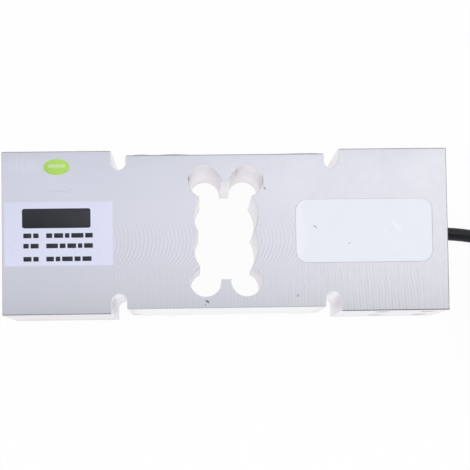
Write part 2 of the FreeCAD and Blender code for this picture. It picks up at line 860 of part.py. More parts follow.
def build_stickers():
    """The film label on the fixed end and the oval sticker above it."""
    label = box(
        "Label",
        "Sizes.label_length",
        "Sizes.label_width",
        "Sizes.film_thickness",
        f"Sizes.label_end_gap - {HALF_LENGTH}",
        "Sizes.label_shift - Sizes.label_width / 2",
        "Sizes.body_width",
    )
    node(label, "data_label")
    oval = doc.addObject("Part::Ellipse", "StickerOutline")
    bind(oval, MajorRadius="Sizes.sticker_length / 2", MinorRadius="Sizes.sticker_width / 2")
    place(
        oval,
        f"Sizes.sticker_from_end - {HALF_LENGTH}",
        f"{PAD_FACE} - Sizes.sticker_from_pad",
        "Sizes.body_width",
    )
    sticker = doc.addObject("Part::Extrusion", "Sticker")
    sticker.Base = oval
    sticker.DirMode = "Custom"
    sticker.Dir = Vector(0, 0, 1)
    sticker.Solid = True
    bind(sticker, LengthFwd="Sizes.film_thickness")
    node(sticker, "test_sticker")


build_spring_body()
upper_leads = build_gauge_side("upper", 1)
lower_leads = build_gauge_side("lower", -1)
board_pieces = build_board()
board_wires = build_board_wires()
build_grommet()
spare_coil = build_coil()
build_ties()
main_cable = build_cable(spare_coil)
build_far_end()
build_potting([upper_leads, lower_leads, main_cable] + board_pieces + board_wires)
build_stickers()
doc.recompute()

# Nothing is written unless every object is sound and every cut took metal away
for thing in doc.Objects:
    if {"Invalid", "Error"} & set(thing.State):
        raise RuntimeError(f"{thing.Name} failed: {thing.State}")
    if thing.TypeId in ("PartDesign::Pocket", "PartDesign::Hole", "PartDesign::Chamfer"):
        if thing.BaseFeature.Shape.Volume - thing.Shape.Volume < LEAST_CUT:
            raise RuntimeError(f"{thing.Name} took nothing away")
for thing in nodes:
    if thing.Shape.isNull() or not thing.Shape.isValid():
        raise RuntimeError(f"{thing.Label} has no valid shape")

os.makedirs("parts", exist_ok=True)
for thing in nodes:
    thing.Shape.exportStep(f"parts/{thing.Label}.step")
    print(f"{thing.Label}: {len(thing.Shape.Solids)} solid, {thing.Shape.Volume:.1f} cubic mm")
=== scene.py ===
"""Looks of a single point load cell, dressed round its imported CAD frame.

Everything is in metres, in the part's own frame: +X runs along the beam to the cable end, +Y is the
load axis and +Z points out of the labelled face.
"""

import json
import logging
import math
from collections.abc import Callable
from dataclasses import dataclass, replace
from enum import Enum
from functools import partial, reduce
from typing import Self

import bmesh
import bpy
from mathutils import Matrix, Vector


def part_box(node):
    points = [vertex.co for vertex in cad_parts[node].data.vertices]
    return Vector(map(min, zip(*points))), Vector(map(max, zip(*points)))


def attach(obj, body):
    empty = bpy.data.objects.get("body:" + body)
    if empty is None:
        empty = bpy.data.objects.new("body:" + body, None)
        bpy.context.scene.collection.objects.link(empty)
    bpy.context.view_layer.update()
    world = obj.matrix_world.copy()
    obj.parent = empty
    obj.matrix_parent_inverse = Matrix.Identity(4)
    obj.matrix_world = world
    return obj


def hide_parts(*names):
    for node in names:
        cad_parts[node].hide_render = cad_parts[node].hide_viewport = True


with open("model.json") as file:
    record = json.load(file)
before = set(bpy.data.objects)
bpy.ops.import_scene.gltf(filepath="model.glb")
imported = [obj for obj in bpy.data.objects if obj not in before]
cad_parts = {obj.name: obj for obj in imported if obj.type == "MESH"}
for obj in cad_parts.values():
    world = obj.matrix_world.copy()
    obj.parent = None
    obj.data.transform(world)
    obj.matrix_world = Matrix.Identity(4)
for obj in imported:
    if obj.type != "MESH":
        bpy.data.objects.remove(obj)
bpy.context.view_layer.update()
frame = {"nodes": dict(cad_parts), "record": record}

Colour = tuple[float, float, float]
Socket = bpy.types.NodeSocket
Number = float | bpy.types.NodeSocket

LOG = logging.getLogger("load_cell")
MM = 0.001
BODY = "root"
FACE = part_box("spring_body")[1].z
BLACK: Colour = (0.0, 0.0, 0.0)
DIRT: Colour = (0.10, 0.10, 0.11)
SHADE: Colour = (0.42, 0.43, 0.46)
RUST: Colour = (0.45, 0.36, 0.32)
SCUFF: Colour = (1.0, 1.0, 1.0)
NOISE_RANGE = (0.3, 0.7)


# Node sheets


@dataclass(frozen=True)
class Ramp:
    """A number that runs from its first to its last value over a range, and holds at both ends."""

    start: float
    end: float
    first: float = 0.0
    last: float = 1.0


@dataclass(frozen=True)
class Mark:
    """A soft-edged ellipse of colour, such as a scratch, stain, dent or speck; a few are patches of
    painted shade and painted highlight.
    """

    place: Vector
    size: Vector
    turn: float
    strength: float
    colour: Colour
    softness: float = 0.5


class NodeSheet:
    """A node tree with short calls for the nodes that the finishes share."""

    def __init__(self, tree: bpy.types.NodeTree) -> None:
        """Empties the tree and keeps it."""
        self.tree = tree
        tree.nodes.clear()

    def add(self, kind: str, **settings: object) -> bpy.types.Node:
        """Adds a node.

        Args:
            kind: Blender's name for the node.
            settings: properties to set on it.

        Returns:
            The new node.
        """
        node = self.tree.nodes.new(kind)
        for name, value in settings.items():
            setattr(node, name, value)
        return node

    def feed(self, target: Socket, value: Number | Colour) -> None:
        """Links a socket to another one, or sets its own number or colour.

        Args:
            target: the socket that takes the value.
            value: a socket, a number, a vector or a colour.
        """
        if isinstance(value, bpy.types.NodeSocket):
            self.tree.links.new(value, target)
        elif target.type == "RGBA":
            target.default_value = (*value, 1.0)
        else:
            target.default_value = value

    def math(self, operation: str, first: Number, second: Number = 0.0) -> Socket:
        """Works out one sum.

        Args:
            operation: Blender's name for the sum.
            first: its first number.
            second: its second number.

        Returns:
            The socket that holds the result.
        """
        node = self.add("ShaderNodeMath", operation=operation)
        self.feed(node.inputs[0], first)
        self.feed(node.inputs[1], second)
        return node.outputs[0]

    def total(self, *numbers: Number) -> Socket:
        """Adds numbers up."""
        return reduce(partial(self.math, "ADD"), numbers)

    def product(self, *numbers: Number) -> Socket:
        """Multiplies numbers."""
        return reduce(partial(self.math, "MULTIPLY"), numbers)

    def unsigned(self, value: Socket) -> Socket:
        """A number without its sign."""
        return self.math("ABSOLUTE", value)

    def centred(self, value: Socket) -> Socket:
        """A number from 0 to 1, moved to lie about 0."""
        return self.math("SUBTRACT", value, 0.5)

    def between(self, value: Socket, low: float, high: float) -> Socket:
        """1 where a number lies between two limits, and 0 elsewhere."""
        above = self.math("GREATER_THAN", value, low)
        return self.product(above, self.math("LESS_THAN", value, high))

    def ramp(self, value: Socket, ramp: Ramp) -> Socket:
        """Runs a number along a ramp.

        Args:
            value: the number.
            ramp: the ramp.

        Returns:
            The socket that holds the result.
        """
        node = self.add("ShaderNodeMapRange")
        names = ("From Min", "From Max", "To Min", "To Max")
        for name, number in zip(names, (ramp.start, ramp.end, ramp.first, ramp.last)):
            node.inputs[name].default_value = number
        self.feed(node.inputs["Value"], value)
        return node.outputs["Result"]

    def blend(self, share: Socket, first: Socket, second: Socket) -> Socket:
        """Mixes two numbers, with the second one at a share of 1."""
        return self.total(first, self.product(share, self.math("SUBTRACT", second, first)))

    def mix(self, share: Number, first: Colour | Socket, second: Colour | Socket) -> Socket:
        """Mixes two colours.

        Args:
            share: how much of the second colour there is.
            first: the colour at a share of 0.
            second: the colour at a share of 1.

        Returns:
            The socket that holds the mixed colour.
        """
        node = self.add("ShaderNodeMix", data_type="RGBA")
        share_in, first_in, second_in = (node.inputs[index] for index in (0, 6, 7))
        self.feed(share_in, share)
        self.feed(first_in, first)
        self.feed(second_in, second)
        return node.outputs[2]

    def mix_shaders(self, share: Number, first: bpy.types.Node, second: bpy.types.Node) -> Socket:
        """Mixes two shaders.

        Args:
            share: how much of the second shader there is.
            first: the shader at a share of 0.
            second: the shader at a share of 1.

        Returns:
            The socket that holds the mixed shader.
        """
        node = self.add("ShaderNodeMixShader")
        for target, value in zip(node.inputs, (share, first.outputs[0], second.outputs[0])):
            self.feed(target, value)
        return node.outputs[0]


class Surface(NodeSheet):
    """A material with one Principled shader, read in Object coordinates."""

    def __init__(self, name: str) -> None:
        """Makes the material and its shader."""
        self.material = bpy.data.materials.new(name)
        self.material.use_nodes = True
        super().__init__(self.material.node_tree)
        self.shader = self.add("ShaderNodeBsdfPrincipled")
        output = self.add("ShaderNodeOutputMaterial")
        self.feed(output.inputs["Surface"], self.shader.outputs["BSDF"])
        self.place = self.add("ShaderNodeTexCoord").outputs["Object"]

    def set(self, socket: str, value: Number | Colour) -> None:
        """Sets or links one of the shader's own sockets."""
        self.feed(self.shader.inputs[socket], value)

    def moved(self, place: Vector, turn: float, size: Vector) -> Socket:
        """Coordinates about a place, turned in the labelled face and measured in a size.

        Args:
            place: the middle of the new coordinates.
            turn: their turn about +Z, in degrees.
            size: what counts as 1 along each of them.

        Returns:
            The socket that holds the coordinates.
        """
        node = self.add("ShaderNodeMapping", vector_type="TEXTURE")
        self.feed(node.inputs["Vector"], self.place)
        node.inputs["Location"].default_value = place
        node.inputs["Rotation"].default_value = (0.0, 0.0, math.radians(turn))
        node.inputs["Scale"].default_value = size
        return node.outputs["Vector"]

    def noise(self, size: Vector | float, detail: float = 3.0) -> Socket:
        """Cloudy numbers from 0 to 1.

        Args:
            size: how large the clouds are, in metres, along all axes or along each.
            detail: how many finer layers they have.

        Returns:
            The socket that holds them.
        """
        node = self.add("ShaderNodeTexNoise")
        sizes = Vector((size, size, size)) if isinstance(size, float) else size
        self.feed(node.inputs["Vector"], self.moved(Vector(), 0.0, sizes))
        node.inputs["Scale"].default_value = 1.0
        node.inputs["Detail"].default_value = detail
        return node.outputs["Fac"]

    def bump(self, height: Socket, depth: float) -> None:
        """Gives the surface relief.

        Args:
            height: the relief, about 1 from its lowest to its highest.
            depth: how deep that is, in metres.
        """
        node = self.add("ShaderNodeBump")
        node.inputs["Distance"].default_value = depth
        self.feed(node.inputs["Height"], height)
        self.set("Normal", node.outputs["Normal"])

    def wave(self, travel: Socket, pitch: float) -> Socket:
        """Ridges from 0 to 1, a pitch apart along a travel."""
        ridge = self.math("SINE", self.product(travel, math.tau / pitch))
        return self.ramp(ridge, Ramp(-1.0, 1.0))

    def marked(self, ground: Socket, marks: tuple[Mark, ...]) -> Socket:
        """Lays marks over a colour.

        Args:
            ground: the colour without them.
            marks: the marks.

        Returns:
            The socket that holds the colour with them.
        """
        colour = ground
        for mark in marks:
            spot = self.add("ShaderNodeTexGradient", gradient_type="SPHERICAL")
            self.feed(spot.inputs["Vector"], self.moved(mark.place, mark.turn, mark.size))
            share = self.ramp(spot.outputs["Fac"], Ramp(0.0, mark.softness, 0.0, mark.strength))
            colour = self.mix(share, colour, mark.colour)
        return colour


# Finishes


def darker(colour: Colour, shade: float) -> Colour:
    """A colour less a share of itself."""
    return tuple(part * (1.0 - shade) for part in colour)


@dataclass(frozen=True)
class CutterPass:
    """One run of a facing cutter along the beam, which leaves arcs a feed apart."""

    radius: float
    apex: float
    feed: float

    def marks(self, surface: Surface, along: Socket, across: Socket, way: float = 1.0) -> Socket:
        """The arcs that the cutter's rim leaves, from 0 to 1.

        Args:
            surface: the sheet that works them out.
            along: the place along the beam.
            across: the place across the beam.
            way: 1 for the leading rim, and -1 for the trailing one.

        Returns:
            The socket that holds them.
        """
        off = surface.math("SUBTRACT", across, self.apex)
        square = surface.math("SUBTRACT", self.radius**2, surface.product(off, off))
        reach = surface.math("SQRT", surface.math("MAXIMUM", square, 0.0))
        travel = surface.math("SUBTRACT", along, surface.product(reach, way))
        return surface.wave(travel, self.feed)


@dataclass(frozen=True)
class CutterMarks:
    """The two passes that faced the beam, and where their marks show."""

    upper: CutterPass = CutterPass(radius=15.5 * MM, apex=-3.75 * MM, feed=1.67 * MM)
    lower: CutterPass = CutterPass(radius=110 * MM, apex=-36 * MM, feed=1.38 * MM)
    slow_feed: float = 2.76 * MM
    slow_share: float = 0.3
    wander: float = 1.2 * MM
    wander_size: float = 6 * MM
    crossed: Ramp = Ramp(0.45, 0.70, 0.0, 0.45)
    crossed_size: float = 14 * MM
    patches: Ramp = Ramp(0.35, 0.65, 0.35, 1.25)
    patch_size: float = 4 * MM
    seam: Ramp = Ramp(-13.2 * MM, -17.2 * MM)
    seam_sway: float = 4.0
    upper_fade: Ramp = Ramp(8 * MM, -3 * MM, 0.05, 1.0)
    lower_fade: Ramp = Ramp(30 * MM, 55 * MM, 0.50, 1.05)
    plain_end_fade: Ramp = Ramp(-62 * MM, -46 * MM, 0.12, 1.0)
    cable_end_fade: Ramp = Ramp(83 * MM, 87 * MM, 1.0, 0.45)
    depth: float = 0.006 * MM


@dataclass(frozen=True)
class MilledFace:
    """The labelled face: its colour, and how that varies over it."""

    colour: Colour = (0.98, 0.96, 0.98)
    shade: float = 0.32
    level: float = 0.735
    cloud: float = 0.14
    cloud_size: float = 22 * MM
    # Painted shade: these three darken the face's colour towards its long edges.
    crown: float = 0.26
    crown_reach: float = 33 * MM
    edge_shade_power: float = 4.0
    cut: float = 0.38
    mottle: Ramp = Ramp(0.0, 40 * MM, 0.033, 0.22)
    mottle_size: float = 3.5 * MM
    roughness: Ramp = Ramp(*NOISE_RANGE, 0.36, 0.46)


@dataclass(frozen=True)
class Walls:
    """The outer sides, the bores, the notches and the mouths of the tapped holes."""

    colour: Colour = (0.992, 0.957, 1.0)
    shade: Ramp = Ramp(*NOISE_RANGE, 0.0, 0.04)
    grain: Vector = Vector((40 * MM, 40 * MM, 0.5 * MM))
    # Painted shade: the walls darken towards their foot, most towards the plain end.
    foot: Ramp = Ramp(0.0, 14 * MM, 0.16, 0.0)
    foot_shade_growth: Ramp = Ramp(-50 * MM, 50 * MM, 2.2, 1.0)
    notch_colour: Colour = (0.987, 0.967, 1.0)
    notch_reach: tuple[float, float] = (42.1 * MM, 49.3 * MM)
    # Painted shade greys the outer sides; the lower side gets less of it, a painted sheen.
    side_colour: Colour = (0.69, 0.69, 0.72)
    side_reach: tuple[float, float] = (95.3 * MM, 32.9 * MM)
    lower_grey: Ramp = Ramp(-50 * MM, 50 * MM, 0.40, 0.20)
    mouth_dull: Ramp = Ramp(34.3 * MM, 34.6 * MM, 0.0, 0.85)
    mouth_top: float = 34.98 * MM
    mouth_reach: float = 94 * MM
    mouth_heights: tuple[float, float] = (2 * MM, 48 * MM)


@dataclass(frozen=True)
class BrokenEdges:
    """The broken edges of the labelled face and the back face, with painted shade that is darkest along
    the outline.
    """

    width: float = 0.4 * MM
    skin: float = 0.02 * MM
    reach: tuple[float, float] = (94.9 * MM, 32.4 * MM)
    # Painted shade: the outer broken edges are painted this dark colour, at the strengths below.
    colour: Colour = (0.17, 0.18, 0.20)
    strength: float = 0.75
    faintest: float = 0.01
    plain_end: Ramp = Ramp(-95.2 * MM, -94.7 * MM, 0.45, 1.0)
    cable_end: Ramp = Ramp(94.7 * MM, 95.2 * MM, 1.0, 0.75)
    lower_relief: float = -32.9 * MM
    relief_shade: Ramp = Ramp(0.4 * MM, 0.9 * MM, 0.45, 1.0)
    lowest: Ramp = Ramp(-33.5 * MM, -34.0 * MM)
    lowest_shade_growth: Ramp = Ramp(45 * MM, 60 * MM, 0.05, 0.25)
    # Painted shade: the inner broken edges are painted this flat grey in place of their own shading.
    rim_shade_colour: Colour = (0.80, 0.80, 0.83)


@dataclass(frozen=True)
class MilledAluminium:
    """Bare aluminium, faced with a round cutter in passes along the beam."""

    cuts: CutterMarks = CutterMarks()
    face: MilledFace = MilledFace()
    walls: Walls = Walls()
    edges: BrokenEdges = BrokenEdges()
    marks: tuple[Mark, ...] = ()

    def make(self, name: str) -> bpy.types.Material:
        """Builds the material of that name."""
        return MilledSurface(name, self).material


class MilledSurface(Surface):
    """The milled finish as a material, worked out from the place on the beam."""

    def __init__(self, name: str, finish: MilledAluminium) -> None:
        """Builds the whole material.

        Args:
            name: its name.
            finish: what it looks like.
        """
        super().__init__(name)
        self.finish = finish
        axes = self.add("ShaderNodeSeparateXYZ")
        self.feed(axes.inputs[0], self.place)
        self.along, self.across, self.height = axes.outputs
        self.clouds = self.noise(finish.face.cloud_size)
        self.notch = self.between(self.unsigned(self.along), *finish.walls.notch_reach)
        self.cuts = self.cutter_marks()
        self.paint()

    def paint(self) -> None:
        """Feeds the shader, with the marks over the face and the dark outline, which is painted shade,
        over the marks.
        """
        edges = self.finish.edges
        low = self.math("LESS_THAN", self.height, FACE - edges.width)
        ground = self.mix(low, self.face_colour(), self.wall_colour())
        found = self.edge_share()
        # Painted shade over the outer broken edges.
        outer = self.product(found, self.outer_strength())
        inner = self.product(found, self.math("LESS_THAN", outer, edges.faintest))
        # Painted shade: a flat grey over the inner broken edges.
        shaded_rims = self.mix(inner, ground, edges.rim_shade_colour)
        self.set("Base Color", self.mix(outer, self.marked(shaded_rims, self.finish.marks), edges.colour))
        dull = self.math("MAXIMUM", self.mouth_share(), inner)
        self.set("Metallic", self.math("SUBTRACT", 1.0, dull))
        self.set("Roughness", self.ramp(self.clouds, self.finish.face.roughness))
        self.bump(self.cuts, self.finish.cuts.depth)

    def cutter_marks(self) -> Socket:
        """The cutter's marks.

        Returns:
            The socket that holds them, about 1 from lowest to highest, and about 0 where they fade out.
        """
        cuts = self.finish.cuts
        sway = self.product(self.centred(self.noise(cuts.wander_size, detail=1.0)), cuts.wander)
        place = self.total(self.along, sway)
        ahead = cuts.upper.marks(self, place, self.across)
        behind = cuts.upper.marks(self, place, self.across, way=-1.0)
        crossed = self.ramp(self.noise(cuts.crossed_size), cuts.crossed)
        upper = self.total(ahead, self.product(behind, crossed))
        quick = self.product(cuts.lower.marks(self, place, self.across), 1.0 - cuts.slow_share)
        slow = self.product(self.wave(place, cuts.slow_feed), cuts.slow_share)
        drift = self.total(self.across, self.product(sway, cuts.seam_sway))
        below = self.ramp(drift, cuts.seam)
        marks = self.centred(self.blend(below, upper, self.total(quick, slow)))
        upper_fade = self.ramp(self.across, cuts.upper_fade)
        lower_fade = self.ramp(self.along, cuts.lower_fade)
        fade = self.blend(below, upper_fade, lower_fade)
        ends = [self.ramp(self.along, end) for end in (cuts.plain_end_fade, cuts.cable_end_fade)]
        patches = self.ramp(self.noise(cuts.patch_size, detail=1.0), cuts.patches)
        return self.product(marks, fade, *ends, patches)

    def face_colour(self) -> Socket:
        """The colour of the milled face.

        Returns:
            The socket that holds it, with painted shade that darkens it towards the long edges.
        """
        face = self.finish.face
        # Painted shade: the colour falls off towards the long edges.
        off = self.math("DIVIDE", self.unsigned(self.across), face.crown_reach)
        shade_towards_edges = self.product(self.math("POWER", off, face.edge_shade_power), -face.crown)
        clouds = self.product(self.clouds, face.cloud)
        spots = self.centred(self.noise(face.mottle_size, detail=2.0))
        mottle = self.product(spots, self.ramp(self.along, face.mottle))
        tone = self.total(clouds, face.level, shade_towards_edges, mottle, self.product(self.cuts, face.cut))
        return self.mix(tone, darker(face.colour, face.shade), face.colour)

    def wall_colour(self) -> Socket:
        """The colour of the sides, bores and notches.

        Returns:
            The socket that holds it, with painted shade that darkens it a little at the foot.
        """
        walls = self.finish.walls
        inner = self.mix(self.notch, walls.colour, walls.notch_colour)
        sides = self.mix(self.side_shade_share(), inner, walls.side_colour)
        lines = self.ramp(self.noise(walls.grain, detail=4.0), walls.shade)
        # Painted shade towards the foot of the walls.
        foot = self.product(self.ramp(self.height, walls.foot), self.ramp(self.along, walls.foot_shade_growth))
        return self.mix(foot, self.mix(lines, sides, BLACK), SHADE)

    def side_shade_share(self) -> Socket:
        """How much painted shade greys the outer sides.

        Returns:
            The socket that holds the share, least on the lower side, which is left lighter as a painted
            sheen, and 0 in the bores.
        """
        walls = self.finish.walls
        upper = self.math("GREATER_THAN", self.across, 0.0)
        ends = self.math("GREATER_THAN", self.unsigned(self.along), walls.side_reach[0])
        # Painted sheen: the lower side is greyed less.
        painted_sheen = self.ramp(self.along, walls.lower_grey)
        grey = self.math("MAXIMUM", self.math("MAXIMUM", upper, ends), painted_sheen)
        return self.product(grey, self.outside(walls.side_reach))

    def mouth_share(self) -> Socket:
        """How dull the metal is.

        Returns:
            The socket that holds the share, 0 but where the mouths of the tapped holes were deburred.
        """
        walls = self.finish.walls
        across = self.unsigned(self.across)
        under = self.math("LESS_THAN", across, walls.mouth_top)
        within = self.math("LESS_THAN", self.unsigned(self.along), walls.mouth_reach)
        level = self.between(self.height, *walls.mouth_heights)
        return self.product(self.ramp(across, walls.mouth_dull), under, within, level)

    def outside(self, reaches: tuple[float, float]) -> Socket:
        """Where the beam's outline is, apart from the notches.

        Args:
            reaches: how far out the outline starts, along the beam and across it.

        Returns:
            The socket that holds 1 there, and 0 elsewhere.
        """
        places = zip((self.along, self.across), reaches)
        far = [self.math("GREATER_THAN", self.unsigned(place), reach) for place, reach in places]
        return self.product(self.math("MAXIMUM", *far), self.math("SUBTRACT", 1.0, self.notch))

    def edge_share(self) -> Socket:
        """Where the broken edges of the labelled face and the back face are.

        Returns:
            The socket that holds 1 there, and 0 elsewhere.
        """
        edges = self.finish.edges
        front = self.between(self.height, FACE - edges.width, FACE - edges.skin)
        return self.math("MAXIMUM", front, self.between(self.height, edges.skin, edges.width))

    def outer_strength(self) -> Socket:
        """How strong the painted shade on the outer edges is.

        Returns:
            The socket that holds the strength, most under the cable end, and 0 away from the outline.
        """
        edges = self.finish.edges
        relief = self.unsigned(self.math("SUBTRACT", self.across, edges.lower_relief))
        ends = [self.ramp(self.along, end) for end in (edges.plain_end, edges.cable_end)]
        # Painted shade: less at both ends and beside the lower relief, more along the lowest edge
        # towards the cable end.
        dark = self.product(edges.strength, *ends, self.ramp(relief, edges.relief_shade))
        lowest = self.ramp(self.across, edges.lowest)
        shade_on_lowest = self.product(lowest, self.ramp(self.along, edges.lowest_shade_growth))
        return self.product(self.outside(edges.reach), self.total(dark, shade_on_lowest))


@dataclass(frozen=True)
class Moulded:
    """Plastic, rubber, lacquer or drawn wire with a fine grain and uneven colour."""

    colour: Colour
    roughness: float
    grain: float
    depth: float
    mottle: float = 0.12
    metallic: float = 0.0
    specular: float = 0.5
    marks: tuple[Mark, ...] = ()
    cloud_grains: float = 25.0
    gloss_spread: float = 0.12

    def make(self, name: str) -> bpy.types.Material:
        """Builds the material.

        Args:
            name: its name.

        Returns:
            The material.
        """
        surface = Surface(name)
        clouds = surface.ramp(surface.noise(self.grain * self.cloud_grains), Ramp(*NOISE_RANGE))
        grain = surface.noise(self.grain, detail=2.0)
        limits = (self.roughness - self.gloss_spread, self.roughness + self.gloss_spread)
        ground = surface.mix(clouds, darker(self.colour, self.mottle), self.colour)
        surface.set("Base Color", surface.marked(ground, self.marks))
        surface.set("Metallic", self.metallic)
        surface.set("Specular IOR Level", self.specular)
        surface.set("Roughness", surface.ramp(grain, Ramp(*NOISE_RANGE, *limits)))
        surface.bump(grain, self.depth)
        return surface.material


def face_mark(
    x: float, y: float, length: float, width: float, turn: float, strength: float, colour: Colour = DIRT
) -> Mark:
    """A mark on the labelled face.

    Args:
        x: its middle along the beam, in millimetres.
        y: its middle across the beam, in millimetres.
        length: its length, in millimetres.
        width: its width, in millimetres.
        turn: its turn in the face, in degrees.
        strength: how much of the ground it hides.
        colour: its colour.

    Returns:
        The mark.
    """
    depth = 1.5 * MM
    size = Vector((length * MM / 2, width * MM / 2, depth))
    return Mark(Vector((x * MM, y * MM, FACE)), size, turn, strength, colour)


BEAM_MARKS_AND_SHADE = (
    face_mark(-86.0, 29.0, 20.0, 9.0, 0.0, 0.16, SCUFF),
    face_mark(-91.9, 28.6, 1.1, 8.0, 2.0, 0.30, SCUFF),
    face_mark(-88.9, 29.4, 1.3, 7.5, -3.0, 0.34, SCUFF),
    face_mark(-86.6, 28.4, 1.0, 9.0, 4.0, 0.38, SCUFF),
    face_mark(-84.3, 29.2, 1.2, 7.0, -8.0, 0.30, SCUFF),
    face_mark(-82.2, 28.0, 1.0, 8.0, 12.0, 0.28, SCUFF),
    face_mark(-79.9, 26.8, 0.9, 5.0, 0.0, 0.22, SCUFF),
    # Painted shade: a broad faint grey patch over the upper middle of the face.
    face_mark(-36.0, 25.0, 76.0, 32.0, 0.0, 0.06, SHADE),
    face_mark(-70.4, 17.8, 13.0, 0.9, -6.0, 0.14, SHADE),
    face_mark(-67.0, 18.9, 7.5, 0.8, -22.0, 0.12, SHADE),
    face_mark(-8.3, -30.2, 2.6, 1.0, -35.0, 0.85),
    face_mark(-9.3, -31.6, 1.6, 0.7, -25.0, 0.35),
    face_mark(-15.6, 22.2, 0.7, 4.4, 0.0, 0.65),
    face_mark(16.1, 21.6, 0.6, 6.5, 0.0, 0.50),
    face_mark(16.9, 18.2, 2.2, 0.9, -60.0, 0.50),
    face_mark(30.4, -28.1, 1.9, 1.5, 0.0, 0.30),
    Mark(Vector((5.2 * MM, 27.0 * MM, 38 * MM)), Vector((0.9 * MM, 2.0 * MM, 14 * MM)), 0.0, 0.35, RUST),
)
POTTING_MARKS_AND_HIGHLIGHT = (
    face_mark(38.4, 1.4, 2.4, 0.7, -38.0, 0.60),
    face_mark(52.9, -5.9, 1.1, 0.9, 0.0, 0.40),
    face_mark(73.4, 1.7, 9.0, 2.0, -48.0, 0.55, (0.93, 0.95, 0.99)),
    face_mark(71.0, -0.4, 3.0, 1.6, 20.0, 0.20, (0.66, 0.70, 0.78)),
    # Painted highlight: a pale band along the potting's drawn-up left end.
    face_mark(31.0, -0.4, 7.0, 34.0, 0.0, 0.75, (0.90, 0.91, 0.945)),
)

FINISHES = {
    "aluminium": MilledAluminium(marks=BEAM_MARKS_AND_SHADE),
    "potting": Moulded((0.85, 0.876, 0.935), 0.38, 0.5 * MM, 0.004 * MM, 0.02, marks=POTTING_MARKS_AND_HIGHLIGHT),
    "gauge_coat": Moulded((0.90, 0.90, 0.895), 0.42, 0.6 * MM, 0.02 * MM, 0.03),
    "gauge_film": Moulded((0.62, 0.40, 0.16), 0.40, 0.3 * MM, 0.004 * MM),
    "gauge_wire": Moulded((0.55, 0.45, 0.35), 0.40, 0.2 * MM, 0.004 * MM),
    "board": Moulded((0.10, 0.32, 0.18), 0.45, 0.4 * MM, 0.006 * MM),
    "resistor": Moulded((0.45, 0.58, 0.66), 0.30, 0.2 * MM, 0.003 * MM),
    "grommet_rubber": Moulded((0.030, 0.030, 0.032), 0.62, 0.25 * MM, 0.010 * MM, 0.25),
    "cable_jacket": Moulded((0.008, 0.008, 0.010), 0.42, 0.5 * MM, 0.002 * MM, 0.20, specular=0.32),
    "cable_tie": Moulded((0.028, 0.028, 0.030), 0.36, 0.30 * MM, 0.005 * MM, 0.15),
    "shrink_sleeve": Moulded((0.022, 0.022, 0.024), 0.34, 0.5 * MM, 0.020 * MM, 0.15),
    "core_red": Moulded((0.56, 0.03, 0.03), 0.34, 0.2 * MM, 0.003 * MM, 0.10),
    "core_black": Moulded((0.020, 0.020, 0.022), 0.34, 0.2 * MM, 0.003 * MM, 0.10),
    "core_green": Moulded((0.03, 0.32, 0.09), 0.34, 0.2 * MM, 0.003 * MM, 0.10),
    "core_white": Moulded((0.82, 0.82, 0.80), 0.34, 0.2 * MM, 0.003 * MM, 0.05),
    "drain_wire": Moulded((0.80, 0.78, 0.74), 0.32, 0.15 * MM, 0.02 * MM, 0.15, metallic=1.0),
    "label_film": Moulded((0.755, 0.77, 0.93), 0.33, 0.6 * MM, 0.002 * MM, 0.02),
    "green_sticker": Moulded((0.46, 0.74, 0.12), 0.36, 0.5 * MM, 0.004 * MM, 0.10),
}
EXTRA_FINISHES = {
    # Painted shade: a darker grey copy of the gauge coat's finish, worn by the coat's run.
    "coat_film": Moulded((0.63, 0.635, 0.665), 0.40, 0.6 * MM, 0.010 * MM, 0.06),
    "print_ink": Moulded((0.020, 0.020, 0.026), 0.45, 0.25 * MM, 0.002 * MM, 0.25),
    "sticker_print": Moulded((0.62, 0.82, 0.38), 0.38, 0.3 * MM, 0.002 * MM, 0.08),
}


# Shaping

SMOOTH_ANGLE = math.radians(35.0)
SHARP_ANGLE = math.radians(50.0)
MERGE = 0.001 * MM
UP = Vector((0.0, 0.0, 1.0))


class Bevel(Enum):
    """What a bevel rounds."""

    VERTICES = "corners"
    EDGES = "edges"


def eased(share: float) -> float:
    """A share from 0 to 1 that starts and ends gently."""
    held = min(1.0, max(0.0, share))
    return 0.5 - 0.5 * math.cos(math.pi * held)


def box_size(node: str) -> Vector:
    """The size of a CAD node's box."""
    low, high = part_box(node)
    return high - low


def loose_parts(result: dict, kind: type) -> list:
    """The vertices, edges or faces in what a bmesh operator gives back."""
    return [part for part in result["geom"] if isinstance(part, kind)]


def move(shape: bmesh.types.BMesh, step: Vector) -> None:
    """Moves a whole shape."""
    bmesh.ops.translate(shape, vec=step, verts=shape.verts)


def turn(shape: bmesh.types.BMesh, matrix: Matrix) -> None:
    """Turns a whole shape about the origin."""
    bmesh.ops.rotate(shape, cent=(0.0, 0.0, 0.0), matrix=matrix, verts=shape.verts)


def bevel(shape: bmesh.types.BMesh, parts: list, offset: float, segments: int, affect: Bevel) -> None:
    """Bevels corners or edges.

    Args:
        shape: the shape.
        parts: its corners or edges.
        offset: how far back from them the bevel starts.
        segments: how many steps it has.
        affect: which of the two the parts are.
    """
    bmesh.ops.bevel(
        shape,
        geom=parts,
        offset=offset,
        segments=segments,
        profile=0.5,
        affect=affect.name,
        material=-1,
        clamp_overlap=affect is Bevel.EDGES,
    )


def rounded_plate(length: float, width: float, corner: float, segments: int) -> bmesh.types.BMesh:
    """A flat plate with round corners about the origin.

    Args:
        length: its size along X.
        width: its size along Y.
        corner: the radius of its corners.
        segments: how many edges a corner has.

    Returns:
        The plate as one face.
    """
    shape = bmesh.new()
    bmesh.ops.create_grid(shape, x_segments=1, y_segments=1, size=0.5)
    bmesh.ops.scale(shape, vec=(length, width, 1.0), verts=shape.verts)
    bevel(shape, shape.verts[:], corner, segments, Bevel.VERTICES)
    return shape


